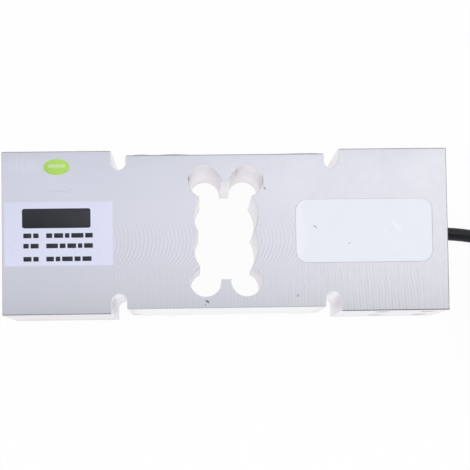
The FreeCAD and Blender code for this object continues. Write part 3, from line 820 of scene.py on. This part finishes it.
def thicken(shape: bmesh.types.BMesh, thickness: float, edge: float) -> None:
    """Makes a flat plate a slab with its top edge broken.

    Args:
        shape: the plate, facing +Z.
        thickness: how high the slab is.
        edge: how far its top edge is broken.
    """
    top = bmesh.ops.extrude_face_region(shape, geom=shape.faces[:])
    raised = loose_parts(top, bmesh.types.BMVert)
    bmesh.ops.translate(shape, vec=(0.0, 0.0, thickness), verts=raised)
    rim = {line for face in loose_parts(top, bmesh.types.BMFace) for line in face.edges}
    bevel(shape, list(rim), edge, segments=2, affect=Bevel.EDGES)


def close_under(shape: bmesh.types.BMesh, settle: Callable[[Vector], Vector]) -> None:
    """Closes an open skin with a skirt and a floor.

    Args:
        shape: the skin.
        settle: gives the skirt's foot under a point of the skin's edge.
    """
    border = [line for line in shape.edges if line.is_boundary]
    skirt = bmesh.ops.extrude_edge_only(shape, edges=border)
    for vert in loose_parts(skirt, bmesh.types.BMVert):
        vert.co = settle(vert.co)
    bmesh.ops.holes_fill(shape, edges=[line for line in shape.edges if line.is_boundary])


def soften(shape: bmesh.types.BMesh, offset: float, segments: int = 2) -> None:
    """Rounds a shape's sharp edges.

    Args:
        shape: the shape.
        offset: how far back from an edge the rounding starts.
        segments: how many faces the rounding has.
    """
    solid = [line for line in shape.edges if line.is_manifold]
    sharp = [line for line in solid if line.calc_face_angle(0.0) > SHARP_ANGLE]
    bevel(shape, sharp, offset, segments, Bevel.EDGES)


def rounded_block(length: float, width: float, height: float, edge: float) -> bmesh.types.BMesh:
    """A block about the origin with round edges.

    Args:
        length: its size along X.
        width: its size along Y.
        height: its size along Z.
        edge: how far its edges are rounded.

    Returns:
        The block.
    """
    shape = bmesh.new()
    bmesh.ops.create_cube(shape, size=1.0)
    bmesh.ops.scale(shape, vec=(length, width, height), verts=shape.verts)
    soften(shape, edge, segments=3)
    return shape


def joined(shapes: list[bmesh.types.BMesh]) -> bmesh.types.BMesh:
    """Several shapes as one, which uses them up.

    Args:
        shapes: the shapes.

    Returns:
        All of them together.
    """
    whole = bmesh.new()
    for shape in shapes:
        carrier = bpy.data.meshes.new("carrier")
        shape.to_mesh(carrier)
        shape.free()
        whole.from_mesh(carrier)
        bpy.data.meshes.remove(carrier)
    return whole


# Dressing


class Wardrobe:
    """The finishes of the part, each made once."""

    def __init__(self) -> None:
        """Makes every material."""
        every = {**FINISHES, **EXTRA_FINISHES}
        self.materials = {name: finish.make(name) for name, finish in every.items()}

    def piece(
        self, name: str, shape: bmesh.types.BMesh, finish: str, slot: str, replaces: tuple[str, ...] = ()
    ) -> bpy.types.Object:
        """Turns a finished shape into a dressed piece that rides with the beam.

        Args:
            name: the piece's name.
            shape: its shape, which is used up.
            finish: the finish that it wears.
            slot: the record's material slot.
            replaces: the CAD nodes that it stands for.

        Returns:
            The piece.
        """
        bmesh.ops.recalc_face_normals(shape, faces=shape.faces)
        mesh = bpy.data.meshes.new(name)
        shape.to_mesh(mesh)
        shape.free()
        mesh.shade_smooth()
        mesh.set_sharp_from_angle(angle=SMOOTH_ANGLE)
        thing = bpy.data.objects.new(name, mesh)
        return self.adopt(thing, finish, slot, replaces)

    def adopt(
        self, thing: bpy.types.Object, finish: str, slot: str, replaces: tuple[str, ...] = ()
    ) -> bpy.types.Object:
        """Puts an object in the scene, dresses it and lets it ride with the beam.

        Args:
            thing: the object.
            finish: the finish that it wears.
            slot: the record's material slot; not used.
            replaces: the CAD nodes that it stands for.

        Returns:
            The same object.
        """
        bpy.context.scene.collection.objects.link(thing)
        thing.data.materials.append(self.materials[finish])
        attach(thing, BODY)
        if replaces:
            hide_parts(*replaces)
        LOG.info("piece %s wears %s", thing.name, finish)
        return thing

    def dress(self, node: str, finish: str) -> None:
        """Gives a CAD node its finish.

        Args:
            node: the node's name.
            finish: the finish that it wears.
        """
        thing = frame["nodes"][node]
        thing.data.materials.clear()
        thing.data.materials.append(self.materials[finish])
        LOG.info("node %s wears %s", node, finish)


@dataclass
class Assembly:
    """A sub-assembly, dressed from a wardrobe."""

    wardrobe: Wardrobe


# Studio


@dataclass(frozen=True)
class Lamp:
    """A soft square lamp that points at the part, and doesn't show in its metal."""

    name: str
    place: Vector
    size: float
    power: float
    colour: Colour

    def build(self, target: Vector) -> None:
        """Puts the lamp in the scene.

        Args:
            target: the point that it shines at.
        """
        light = bpy.data.lights.new(self.name, "AREA")
        light.size = self.size
        light.energy = self.power
        light.color = self.colour
        thing = bpy.data.objects.new(self.name, light)
        thing.location = self.place
        thing.visible_glossy = False
        thing.rotation_euler = (target - self.place).to_track_quat("-Z", "Y").to_euler()
        bpy.context.scene.collection.objects.link(thing)


@dataclass
class Studio:
    """The camera, the lamps, the sky and the floor."""

    eye: Vector = Vector((-11.961 * MM, -65.449 * MM, 627.291 * MM))
    turn: tuple[float, float, float] = (3.114, -1.897, -0.881)
    lens: float = 103.84
    sensor: float = 36.0
    shift: tuple[float, float] = (-0.02134, 0.16107)
    sight: tuple[float, float] = (0.01, 50.0)
    floor_size: float = 3.0
    floor_drop: float = 0.1 * MM
    floor_colour: Colour = (0.90, 0.90, 0.90)
    floor_glow: float = 0.96
    sky_horizon: Colour = (1.0, 1.0, 1.0)
    sky_middle: Colour = (0.76, 0.76, 0.78)
    sky_back: tuple[Colour, Colour] = ((0.17, 0.227, 0.47), (1.20, 1.21, 1.22))
    sky_front: tuple[Colour, Colour] = ((0.69, 0.742, 0.712), (1.09, 1.085, 1.09))
    sky_lift: Ramp = Ramp(-0.02, 0.06)
    sky_height: Ramp = Ramp(0.45, 0.9)
    sky_side: Ramp = Ramp(-0.45, 0.45)
    sky_behind: Ramp = Ramp(-0.10, 0.30)
    sky_rise: Ramp = Ramp(-0.298, 0.5, 0.01, 1.99)
    sky_light: Colour = (0.97, 0.98, 1.0)
    sky_strength: float = 0.84
    lamps: tuple[Lamp, ...] = (
        Lamp("key_lamp", Vector((0.85, 0.20, 0.85)), 0.9, 2.0, (1.0, 0.99, 0.98)),
        Lamp("fill_lamp", Vector((-0.15, -0.95, 0.45)), 0.8, 2.3, (0.96, 0.98, 1.0)),
    )

    def build(self) -> None:
        """Sets up everything that isn't the part."""
        bpy.context.scene.view_settings.view_transform = "Standard"
        self.build_camera()
        self.build_sky()
        self.build_floor()
        for lamp in self.lamps:
            lamp.build(Vector((0.0, 0.0, FACE)))

    def build_camera(self) -> None:
        """Stands the camera where the photograph was taken from."""
        camera = bpy.data.cameras.new("camera")
        camera.sensor_width = self.sensor
        camera.lens = self.lens
        camera.shift_x, camera.shift_y = self.shift
        camera.clip_start, camera.clip_end = self.sight
        thing = bpy.data.objects.new("camera", camera)
        thing.location = self.eye
        thing.rotation_euler = [math.radians(angle) for angle in self.turn]
        bpy.context.scene.collection.objects.link(thing)
        bpy.context.scene.camera = thing

    @staticmethod
    def shown_share(sheet: NodeSheet) -> Socket:
        """Which rays show the background itself.

        Args:
            sheet: the sheet that works it out.

        Returns:
            The socket that holds 1 for those rays, and 0 for those that only light.
        """
        rays = sheet.add("ShaderNodeLightPath").outputs
        shiny = sheet.math("MAXIMUM", rays["Is Glossy Ray"], rays["Is Transmission Ray"])
        return sheet.math("MAXIMUM", rays["Is Camera Ray"], shiny)

    def build_sky(self) -> None:
        """A white horizon under a pale grey sky, which shades off overhead as the metal shows."""
        world = bpy.data.worlds.new("surround")
        world.use_nodes = True
        bpy.context.scene.world = world
        sheet = NodeSheet(world.node_tree)
        axes = sheet.add("ShaderNodeSeparateXYZ")
        sheet.feed(axes.inputs[0], sheet.add("ShaderNodeTexCoord").outputs["Generated"])
        along, across, up = axes.outputs
        around = sheet.mix(sheet.ramp(up, self.sky_lift), self.sky_horizon, self.sky_middle)
        side = sheet.ramp(along, self.sky_side)
        front, back = (sheet.mix(side, *colours) for colours in (self.sky_front, self.sky_back))
        overhead = sheet.mix(sheet.ramp(across, self.sky_behind), front, back)
        height = sheet.ramp(up, self.sky_height)
        gain = sheet.product(height, sheet.math("SUBTRACT", sheet.ramp(across, self.sky_rise), 1.0))
        shown = sheet.add("ShaderNodeBackground")
        sheet.feed(shown.inputs["Color"], sheet.mix(height, around, overhead))
        sheet.feed(shown.inputs["Strength"], sheet.total(gain, 1.0))
        light = sheet.add("ShaderNodeBackground")
        sheet.feed(light.inputs["Color"], self.sky_light)
        sheet.feed(light.inputs["Strength"], self.sky_strength)
        both = sheet.mix_shaders(self.shown_share(sheet), light, shown)
        sheet.feed(sheet.add("ShaderNodeOutputWorld").inputs["Surface"], both)

    def build_floor(self) -> None:
        """A plain white floor that keeps a faint shadow."""
        shape = bmesh.new()
        bmesh.ops.create_grid(shape, x_segments=1, y_segments=1, size=self.floor_size)
        move(shape, Vector((0.0, 0.0, -self.floor_drop)))
        mesh = bpy.data.meshes.new("floor")
        shape.to_mesh(mesh)
        shape.free()
        thing = bpy.data.objects.new("floor", mesh)
        bpy.context.scene.collection.objects.link(thing)
        material = bpy.data.materials.new("floor")
        material.use_nodes = True
        sheet = NodeSheet(material.node_tree)
        paint = sheet.add("ShaderNodeBsdfDiffuse")
        sheet.feed(paint.inputs["Color"], self.floor_colour)
        share = sheet.product(self.shown_share(sheet), self.floor_glow)
        both = sheet.mix_shaders(share, paint, sheet.add("ShaderNodeEmission"))
        sheet.feed(sheet.add("ShaderNodeOutputMaterial").inputs["Surface"], both)
        mesh.materials.append(material)


# Beam


class Side(Enum):
    """The two reliefs, by the sign of their Y."""

    UPPER = 1
    LOWER = -1


@dataclass(frozen=True)
class Swell:
    """A stretch of a coat that was brushed on thicker."""

    middle: float
    reach: float
    share: float

    def at(self, along: float) -> float:
        """How much it adds at a place along the beam."""
        return self.share * math.exp(-(((along - self.middle) / self.reach) ** 2))


@dataclass
class GaugeCoat(Assembly):
    """The sealing coat over the strain gauges in one of the two reliefs."""

    side: Side
    cells: tuple[int, int] = (120, 60)
    shoulder: float = 3.4 * MM
    seat: float = 0.05 * MM
    thinnest: float = 0.45
    ripple: float = 0.05
    ripple_rates: tuple[float, float] = (1.0 / MM, 0.7 / MM)
    ripple_start: float = 1.0
    corner_pull: float = 0.10
    swells: tuple[Swell, ...] = (
        Swell(-35.5 * MM, 3.0 * MM, 0.35),
        Swell(-23.0 * MM, 6.5 * MM, 0.48),
        Swell(34.0 * MM, 5.0 * MM, 0.50),
    )

    def share_at(self, along: float, up: float) -> float:
        """How much of the full thickness there is at a place.

        Args:
            along: the place along the beam.
            up: the place across the relief.

        Returns:
            The share.
        """
        rate_along, rate_up = self.ripple_rates
        share = self.thinnest + sum(swell.at(along) for swell in self.swells)
        share += self.ripple * math.sin(along * rate_along) * math.sin(up * rate_up + self.ripple_start)
        return min(1.0, share)

    def build(self) -> None:
        """Builds the coat over the solid that it stands for."""
        node = f"gauge_coat_{self.side.name.lower()}"
        low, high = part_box(node)
        middle = (low + high) / 2
        reach = (high - low) / 2
        sign = self.side.value
        relief = low.y if sign > 0 else high.y
        shape = bmesh.new()
        columns, rows = self.cells
        bmesh.ops.create_grid(shape, x_segments=columns, y_segments=rows, size=1.0)
        for vert in shape.verts:
            across, up, _ = vert.co
            edge = min((1.0 - abs(across)) * reach.x, (1.0 - abs(up)) * reach.z)
            along = middle.x + across * reach.x * math.sqrt(1.0 - self.corner_pull * up * up)
            height = middle.z + up * reach.z * math.sqrt(1.0 - self.corner_pull * across * across)
            thick = 2.0 * reach.y * self.share_at(along, height) * eased(edge / self.shoulder)
            vert.co = (along, relief + sign * thick, height)
        foot = relief - sign * self.seat
        close_under(shape, lambda point: Vector((point.x, foot, point.z)))
        self.wardrobe.piece(node + "_skin", shape, "gauge_coat", "gauge_coat", (node,))


@dataclass
class CoatRun(Assembly):
    """The thin coat that was brushed from the upper relief up to the labelled face."""

    cells: tuple[int, int] = (160, 14)
    half_length: float = 42.0 * MM
    foot: float = 44.5 * MM
    top: float = 49.55 * MM
    seat: float = 0.05 * MM
    thickness: float = 0.64 * MM
    sunk: float = 0.05
    foot_share: float = 0.6
    lip_share: float = 0.10
    end_reach: float = 3.0 * MM
    swells: tuple[Swell, ...] = (
        Swell(-35.8 * MM, 4.0 * MM, 0.85),
        Swell(-24.6 * MM, 4.0 * MM, 0.70),
        Swell(-19.5 * MM, 4.0 * MM, 0.70),
        Swell(25.5 * MM, 6.0 * MM, 0.30),
        Swell(32.5 * MM, 4.5 * MM, 0.60),
        Swell(38.5 * MM, 3.5 * MM, 0.60),
    )

    def build(self) -> None:
        """Builds the run over the upper edge of the upper coat."""
        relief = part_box("gauge_coat_upper")[0].y
        shape = bmesh.new()
        columns, rows = self.cells
        bmesh.ops.create_grid(shape, x_segments=columns, y_segments=rows, size=1.0)
        for vert in shape.verts:
            along = vert.co.x * self.half_length
            up = (vert.co.y + 1.0) / 2
            share = sum(swell.at(along) for swell in self.swells) - self.sunk
            share *= eased(up / self.foot_share) * math.sqrt(min(1.0, (1.0 - up) / self.lip_share))
            share *= eased((self.half_length - abs(along)) / self.end_reach)
            vert.co = (along, relief + self.thickness * share, self.foot + up * (self.top - self.foot))
        close_under(shape, lambda point: Vector((point.x, relief - self.seat, point.z)))
        # The run wears the gauge coat's finish in painted shade.
        self.wardrobe.piece("gauge_coat_run", shape, "coat_film", "gauge_coat")


@dataclass
class PottingSkin(Assembly):
    """The cured top of the potting, drawn up towards the pocket's edge at one end."""

    corner: float = 5.0 * MM
    corner_segments: int = 12
    rings: tuple[float, ...] = tuple(ring * MM for ring in (0.15, 0.20, 0.35, 0.5, 0.8, 1.2, 1.8))
    rim_rise: float = 0.02 * MM
    crown: float = 0.08 * MM
    crown_reach: float = 1.2 * MM
    end_rise: float = 0.24 * MM
    end_reach: float = 5.0 * MM
    seat: float = 0.2 * MM

    def build(self) -> None:
        """Builds the skin on top of the potting."""
        low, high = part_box("pocket_potting")
        middle = (low + high) / 2
        reach = (high - low) / 2
        shape = rounded_plate(2 * reach.x, 2 * reach.y, self.corner, self.corner_segments)
        inner = shape.faces[:]
        for ring in self.rings:
            bmesh.ops.inset_region(shape, faces=inner, thickness=ring, use_even_offset=True)
        flat = Vector((reach.x - self.corner, reach.y - self.corner))
        for vert in shape.verts:
            out = Vector((abs(vert.co.x) - flat.x, abs(vert.co.y) - flat.y))
            beyond = Vector((max(out.x, 0.0), max(out.y, 0.0)))
            inside = self.corner - beyond.length - min(max(out.x, out.y), 0.0)
            drawn = eased((self.end_reach - reach.x - vert.co.x) / self.end_reach)
            crowned = self.crown * eased(inside / self.crown_reach)
            vert.co.z = self.rim_rise + crowned + drawn * self.end_rise
        move(shape, Vector((middle.x, middle.y, high.z)))
        foot = high.z - self.seat
        close_under(shape, lambda point: Vector((point.x, point.y, foot)))
        self.wardrobe.piece("potting_skin", shape, "potting", "potting")


@dataclass
class TappedHoles(Assembly):
    """The threads in the mounting holes of the pads."""

    pitch: float = 1.25 * MM
    ridge: float = 0.95 * MM
    crest: float = 3.02 * MM
    bite: float = 0.03 * MM
    first: float = 0.25 * MM
    turns: int = 11
    steps: int = 28

    def cut(self, shape: bmesh.types.BMesh, mouth: Vector, inward: Vector, radius: float) -> None:
        """Adds one hole's thread.

        Args:
            shape: the mesh that takes it.
            mouth: the middle of the hole's mouth.
            inward: the way into the hole.
            radius: the hole's radius.
        """
        outward = Vector((1.0, 0.0, 0.0))
        root = radius + self.bite
        start = mouth + inward * self.first
        corners = ((root, 0.0), (self.crest, self.ridge / 2), (root, self.ridge))
        profile = [shape.verts.new(start + outward * reach + inward * depth) for reach, depth in corners]
        face = shape.faces.new(profile)
        bmesh.ops.spin(
            shape,
            geom=[face, *face.edges, *face.verts],
            cent=mouth,
            axis=inward,
            dvec=inward * (self.pitch / self.steps),
            angle=math.tau * self.turns,
            steps=self.turns * self.steps,
        )

    def build(self) -> None:
        """Threads the holes of every bolt pattern in the record."""
        mounts = frame["record"]["mounts"]
        for mount in [mount for mount in mounts if mount["kind"] == "bolt_pattern"]:
            dims = mount["dims"]
            middle = Vector(mount["pos_m"])
            inward = -Vector(mount["axis"])
            shape = bmesh.new()
            for side in (-0.5, 0.5):
                for level in (-0.5, 0.5):
                    step = Vector((side * dims["spacing_x_mm"], 0.0, level * dims["spacing_y_mm"])) * MM
                    self.cut(shape, middle + step, inward, dims["hole_r_mm"] * MM)
            self.wardrobe.piece(mount["name"] + "_thread", shape, "aluminium", "aluminium")


# Stickers


@dataclass(frozen=True)
class Bar:
    """A printed bar: its ends, its top and bottom and its corners' radius, in millimetres."""

    left: float
    right: float
    top: float
    bottom: float
    corner: float = 0.25
    corner_segments: int = 3

    def split(self, lengths: tuple[float, ...], gap: float) -> list[Self]:
        """The bar as a row of dashes.

        Args:
            lengths: how long the dashes are, in proportion.
            gap: the space between two dashes, in millimetres.

        Returns:
            The dashes, from left to right.
        """
        inked = self.right - self.left - gap * (len(lengths) - 1)
        dashes = []
        start = self.left
        for length in lengths:
            end = start + inked * length / sum(lengths)
            dashes.append(replace(self, left=start, right=end))
            start = end + gap
        return dashes

    def shape(self, level: float, thickness: float) -> bmesh.types.BMesh:
        """The bar as a thin slab.

        Args:
            level: the height of its underside.
            thickness: how thick it is.

        Returns:
            The slab.
        """
        length = (self.right - self.left) * MM
        width = (self.top - self.bottom) * MM
        slab = rounded_plate(length, width, self.corner * MM, self.corner_segments)
        thicken(slab, thickness, edge=thickness / 3)
        move(slab, Vector(((self.left + self.right) / 2 * MM, (self.top + self.bottom) / 2 * MM, level)))
        return slab


@dataclass
class Stickers(Assembly):
    """The film label on the plain end and the oval sticker above it."""

    corner: float = 0.5 * MM
    corner_segments: int = 5
    edge: float = 0.03 * MM
    ink: float = 0.02 * MM
    ink_sink: float = 0.01 * MM
    line_gap: float = 0.75
    oval_segments: int = 72
    label_field: Bar = Bar(-86.8, -57.7, 10.4, 2.0, 0.9)
    label_lines: tuple[tuple[Bar, tuple[float, ...]], ...] = (
        (Bar(-86.3, -79.8, -0.2, -2.2), (3, 2)),
        (Bar(-76.6, -56.8, -0.2, -2.2), (2, 3, 1.5, 4, 2.5)),
        (Bar(-86.3, -79.8, -4.6, -6.6), (2, 3)),
        (Bar(-76.6, -56.8, -4.6, -6.6), (4, 2, 3, 1.5, 3)),
        (Bar(-86.3, -79.8, -10.2, -12.2), (3, 2)),
        (Bar(-76.6, -57.4, -10.2, -12.2), (2.5, 1.5, 3.5, 2, 3)),
    )
    oval_bar: Bar = Bar(-75.6, -68.4, 29.4, 27.9)

    def stick(self, name: str, plate: bmesh.types.BMesh, slot: str, node: str) -> None:
        """Makes a flat plate a sticker, in the place of the solid that it stands for.

        Args:
            name: the sticker's name.
            plate: the plate, about the origin.
            slot: the finish and the material slot.
            node: the solid's name.
        """
        low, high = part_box(node)
        thicken(plate, high.z - low.z, self.edge)
        move(plate, Vector(((low.x + high.x) / 2, (low.y + high.y) / 2, low.z)))
        self.wardrobe.piece(name, plate, slot, slot, (node,))

    def print_on(self, name: str, bars: list[Bar], finish: str, slot: str) -> None:
        """Prints bars on a sticker.

        Args:
            name: the name of the print.
            bars: the bars.
            finish: the print's finish.
            slot: the material slot of what carries it.
        """
        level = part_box("data_label")[1].z - self.ink_sink
        shapes = [bar.shape(level, self.ink + self.ink_sink) for bar in bars]
        self.wardrobe.piece(name, joined(shapes), finish, slot)

    def build(self) -> None:
        """Builds both stickers and their print."""
        size = box_size("data_label")
        film = rounded_plate(size.x, size.y, self.corner, self.corner_segments)
        self.stick("label_film", film, "label_film", "data_label")
        bars = [self.label_field]
        for line, lengths in self.label_lines:
            bars += line.split(lengths, self.line_gap)
        self.print_on("label_print", bars, "print_ink", "label_film")

        size = box_size("test_sticker")
        oval = bmesh.new()
        bmesh.ops.create_circle(oval, cap_ends=True, segments=self.oval_segments, radius=0.5)
        bmesh.ops.scale(oval, vec=(size.x, size.y, 1.0), verts=oval.verts)
        self.stick("oval_sticker", oval, "green_sticker", "test_sticker")
        self.print_on("oval_print", [self.oval_bar], "sticker_print", "green_sticker")


# Cable


@dataclass(frozen=True)
class Shift:
    """A stretch of the winding over which the cable moves to the next column or layer."""

    start: float
    span: float
    outward: float
    upward: float


class TieEnd(Enum):
    """The two ties, by the angle at which they hold the coil."""

    NEAR = 205.0
    FAR = 40.0


@dataclass
class SpareCable(Assembly):
    """The cable from the beam to its coil, with its ties and its stripped far end."""

    diameter: float = 5.8 * MM
    length: float = 2.36
    coil_middle: Vector = Vector((161.5 * MM, -35.0 * MM, 1.0 * MM))
    coil_radius: float = 32.4 * MM
    columns: int = 4
    layers: int = 3
    points_per_turn: int = 16
    winding_end: float = 4020.0
    tail_angle: float = 30.0
    sleeve_wall: float = 0.25 * MM
    sleeve_gap: float = 0.4 * MM
    sleeve_bite: float = 4.0 * MM
    sleeve_length: float = 12.0 * MM
    sleeve_segments: int = 40
    tie_width: float = 4.0 * MM
    tie_thickness: float = 0.9 * MM
    tie_gap: float = 0.1 * MM
    tie_bend: float = 2.2 * MM
    bend_segments: int = 6
    tie_edge: float = 0.15 * MM
    tie_head: float = 5.0 * MM
    head_edge: float = 0.6 * MM
    tie_stub: float = 2.6 * MM
    stub_play: float = 0.4 * MM
    stub_place: float = 0.6
    lead_step: float = 18.0
    lead_steps: int = 4
    lead_pitch: float = 1.75 * MM
    tip_length: float = 4.5 * MM
    tip_radius: float = 0.42 * MM
    tip_fit: float = 0.9
    tip_taper: float = 0.85
    tip_edge: float = 0.12 * MM
    tip_segments: int = 14
    core_radius: float = 0.65 * MM
    drain_radius: float = 0.45 * MM
    route: tuple[tuple[float, float, float], ...] = (
        (0.0955, 0.0, 0.028),
        (0.1024, 0.0, 0.028),
        (0.1162, -0.0019, 0.025),
        (0.1280, -0.0004, 0.0176),
        (0.1390, 0.0034, 0.0090),
        (0.1502, 0.0056, 0.0046),
        (0.1615, 0.0056, 0.0039),
    )

    def shifts(self) -> list[Shift]:
        """Where the winding moves from column to column and from layer to layer, in degrees.

        Returns:
            The moves.
        """
        step = self.diameter
        moves = []
        for start, way in ((180.0, -step), (1350.0, step), (2430.0, -step)):
            moves += [Shift(start + 360.0 * lap, 180.0, way, 0.0) for lap in range(3)]
        moves += [Shift(start, 90.0, 0.0, step) for start in (1170.0, 2250.0, 3330.0)]
        moves += [Shift(start, 120.0, step, 0.0) for start in (3360.0, 3720.0)]
        seat = self.sleeve_wall + self.sleeve_gap
        moves.append(Shift(self.winding_end - 60.0, 60.0, seat, self.sleeve_wall))
        return moves

    def about_coil(self, turned: float, radius: float, height: float) -> Vector:
        """A point about the coil's axis.

        Args:
            turned: degrees clockwise from where the cable comes in.
            radius: distance from the axis.
            height: height over the underside of the turns.

        Returns:
            The point.
        """
        angle = math.radians(90.0 - turned)
        return self.coil_middle + Vector((radius * math.cos(angle), radius * math.sin(angle), height))

    @staticmethod
    def onward(angle: float) -> Vector:
        """The way that the winding runs at an angle about the coil's axis."""
        return Vector((math.sin(math.radians(angle)), -math.cos(math.radians(angle)), 0.0))

    @staticmethod
    def lay(shape: bmesh.types.BMesh, onward: Vector, place: Vector) -> None:
        """Lays down a shape that stands along +Z.

        Args:
            shape: the shape.
            onward: the way that it runs then.
            place: where its own origin goes.
        """
        turn(shape, UP.rotation_difference(onward).to_matrix())
        move(shape, place)

    def coil_points(self) -> list[Vector]:
        """The control points of the coil's turns.

        Returns:
            The points, from the outside of the bottom layer to the tail.
        """
        shifts = self.shifts()
        count = round(self.winding_end / 360.0 * self.points_per_turn)
        swell = 1.0 / math.cos(math.pi / self.points_per_turn)
        outside = self.coil_radius + (self.columns - 1) / 2 * self.diameter
        points = []
        for index in range(1, count + 1):
            turned = self.winding_end * index / count
            radius = outside
            height = self.diameter / 2
            for shift in shifts:
                share = eased((turned - shift.start) / shift.span)
                radius += shift.outward * share
                height += shift.upward * share
            points.append(self.about_coil(turned, radius * swell, height))
        points.append(points.pop() + self.onward(self.tail_angle) * self.sleeve_bite)
        return points

    def build_cord(self) -> bpy.types.Object:
        """Builds the cable as one smooth spline.

        Returns:
            The cable.
        """
        curve = bpy.data.curves.new("signal_cable", "CURVE")
        curve.dimensions = "3D"
        curve.bevel_depth = self.diameter / 2
        curve.bevel_resolution = 8
        curve.resolution_u = 4
        curve.use_fill_caps = True
        points = [Vector(point) for point in self.route] + self.coil_points()
        spline = curve.splines.new("NURBS")
        spline.points.add(len(points) - 1)
        for knot, point in zip(spline.points, points):
            knot.co = (*point, 1.0)
        spline.order_u = 3
        spline.use_endpoint_u = True
        thing = bpy.data.objects.new("signal_cable", curve)
        return self.wardrobe.adopt(thing, "cable_jacket", "cable_jacket", ("cable", "cable_coil"))

    def tie_outline(self) -> list[tuple[float, float]]:
        """The outline that a tie is drawn round.

        Returns:
            Radius and height of its corners.
        """
        half = self.columns / 2 * self.diameter
        inner = self.coil_radius - half
        outer = self.coil_radius + half
        shoulder = self.layers * self.diameter
        top = shoulder + self.diameter
        far_peak = (self.coil_radius + self.diameter, top)
        near_peak = (self.coil_radius - self.diameter, top)
        return [(inner, 0.0), (outer, 0.0), (outer, shoulder), far_peak, near_peak, (inner, shoulder)]

    def build_tie(self, end: TieEnd) -> bpy.types.Object:
        """Builds a tie: a band round the coil's section, its head and the cut tail.

        Args:
            end: which of the two ties.

        Returns:
            The tie.
        """
        outline = self.tie_outline()
        band = bmesh.new()
        half = self.tie_width / 2
        band.faces.new([band.verts.new((radius, -half, height)) for radius, height in outline])
        bevel(band, band.verts[:], self.tie_bend, self.bend_segments, Bevel.VERTICES)
        bmesh.ops.delete(band, geom=band.faces[:], context="FACES_ONLY")
        strip = bmesh.ops.extrude_edge_only(band, edges=band.edges[:])
        raised = loose_parts(strip, bmesh.types.BMVert)
        bmesh.ops.translate(band, vec=(0.0, self.tie_width, 0.0), verts=raised)
        bmesh.ops.recalc_face_normals(band, faces=band.faces)
        bmesh.ops.solidify(band, geom=band.faces[:], thickness=-self.tie_thickness)
        soften(band, self.tie_edge)

        outer, shoulder = outline[2]
        wall = outer + self.tie_gap
        head = rounded_block(self.tie_head, self.tie_head, self.tie_head, self.head_edge)
        middle = self.tie_head / 2
        move(head, Vector((wall + middle, 0.0, shoulder / 2 + middle)))
        stub_width = self.tie_width - self.stub_play
        stub = rounded_block(self.tie_thickness, stub_width, 2 * self.tie_stub, self.tie_edge)
        top = shoulder / 2 + self.tie_head
        move(stub, Vector((wall + self.stub_place * self.tie_head, 0.0, top)))
        tie = joined([band, head, stub])
        turn(tie, Matrix.Rotation(math.radians(end.value), 3, "Z"))
        move(tie, self.coil_middle)
        name = end.name.lower()
        return self.wardrobe.piece(f"tie_{name}", tie, "cable_tie", "cable_tie", (f"cable_tie_{name}",))

    def build_sleeve(self) -> bpy.types.Object:
        """Builds the shrink sleeve that closes the jacket's end.

        Returns:
            The sleeve.
        """
        full = self.diameter / 2 + self.sleeve_wall
        length = self.sleeve_length
        profile = (
            (0.0, 0.0),
            (full - 0.10 * MM, 0.0),
            (full, 0.25 * MM),
            (full, 0.55 * length),
            (full - 0.20 * MM, 0.68 * length),
            (full - 0.55 * MM, 0.82 * length),
            (full - 0.65 * MM, length - 0.3 * MM),
            (full - 0.85 * MM, length),
            (0.0, length),
        )
        sleeve = bmesh.new()
        points = [sleeve.verts.new((radius, 0.0, along)) for radius, along in profile]
        lines = [sleeve.edges.new(pair) for pair in zip(points, points[1:])]
        bmesh.ops.spin(
            sleeve,
            geom=[*points, *lines],
            cent=(0.0, 0.0, 0.0),
            axis=UP,
            angle=math.tau,
            steps=self.sleeve_segments,
            use_merge=True,
        )
        bmesh.ops.remove_doubles(sleeve, verts=sleeve.verts, dist=MERGE)
        radius = self.coil_radius + full + self.sleeve_gap
        height = self.layers * self.diameter + full
        start = self.about_coil(90.0 - self.tail_angle, radius, height)
        self.lay(sleeve, self.onward(self.tail_angle), start)
        slot = "shrink_sleeve"
        return self.wardrobe.piece("jacket_end_sleeve", sleeve, slot, slot, ("end_sleeve",))

    def build_tips(self) -> bpy.types.Object:
        """Builds the tinned ends of the flying leads.

        Returns:
            The tips, as one piece.
        """
        middle = self.coil_radius + self.diameter / 2 + self.sleeve_wall + self.sleeve_gap
        first = middle - self.lead_pitch / 2
        core = self.core_radius
        radii = (core, core, self.drain_radius, core, core)
        last = self.tail_angle - self.lead_steps * self.lead_step
        onward = self.onward(last + self.lead_step / 2)
        tips = []
        for lane, radius in enumerate(radii):
            foot = min(self.tip_radius, self.tip_fit * radius)
            tip = bmesh.new()
            bmesh.ops.create_cone(
                tip,
                cap_ends=True,
                segments=self.tip_segments,
                radius1=foot,
                radius2=self.tip_taper * foot,
                depth=2 * self.tip_length,
            )
            soften(tip, self.tip_edge)
            track = first + lane * self.lead_pitch
            height = self.layers * self.diameter + radius
            self.lay(tip, onward, self.about_coil(90.0 - last, track, height))
            tips.append(tip)
        return self.wardrobe.piece("tinned_tips", joined(tips), "drain_wire", "drain_wire")

    def build(self) -> None:
        """Builds the cable and everything on it."""
        cord = self.build_cord()
        pieces = [self.build_tie(end) for end in TieEnd]
        pieces += [self.build_sleeve(), self.build_tips()]


def main() -> None:
    """Builds the studio and dresses the load cell."""
    logging.basicConfig(level=logging.INFO)
    Studio().build()
    wardrobe = Wardrobe()
    SpareCable(wardrobe).build()
    for entry in frame["record"]["subparts"]:
        wardrobe.dress(entry["node"], entry["material_slot"])
    PottingSkin(wardrobe).build()
    for side in Side:
        GaugeCoat(wardrobe, side).build()
    for assembly in (CoatRun, TappedHoles, Stickers):
        assembly(wardrobe).build()

    bpy.context.view_layer.update()


if __name__ == "__main__":
    main()
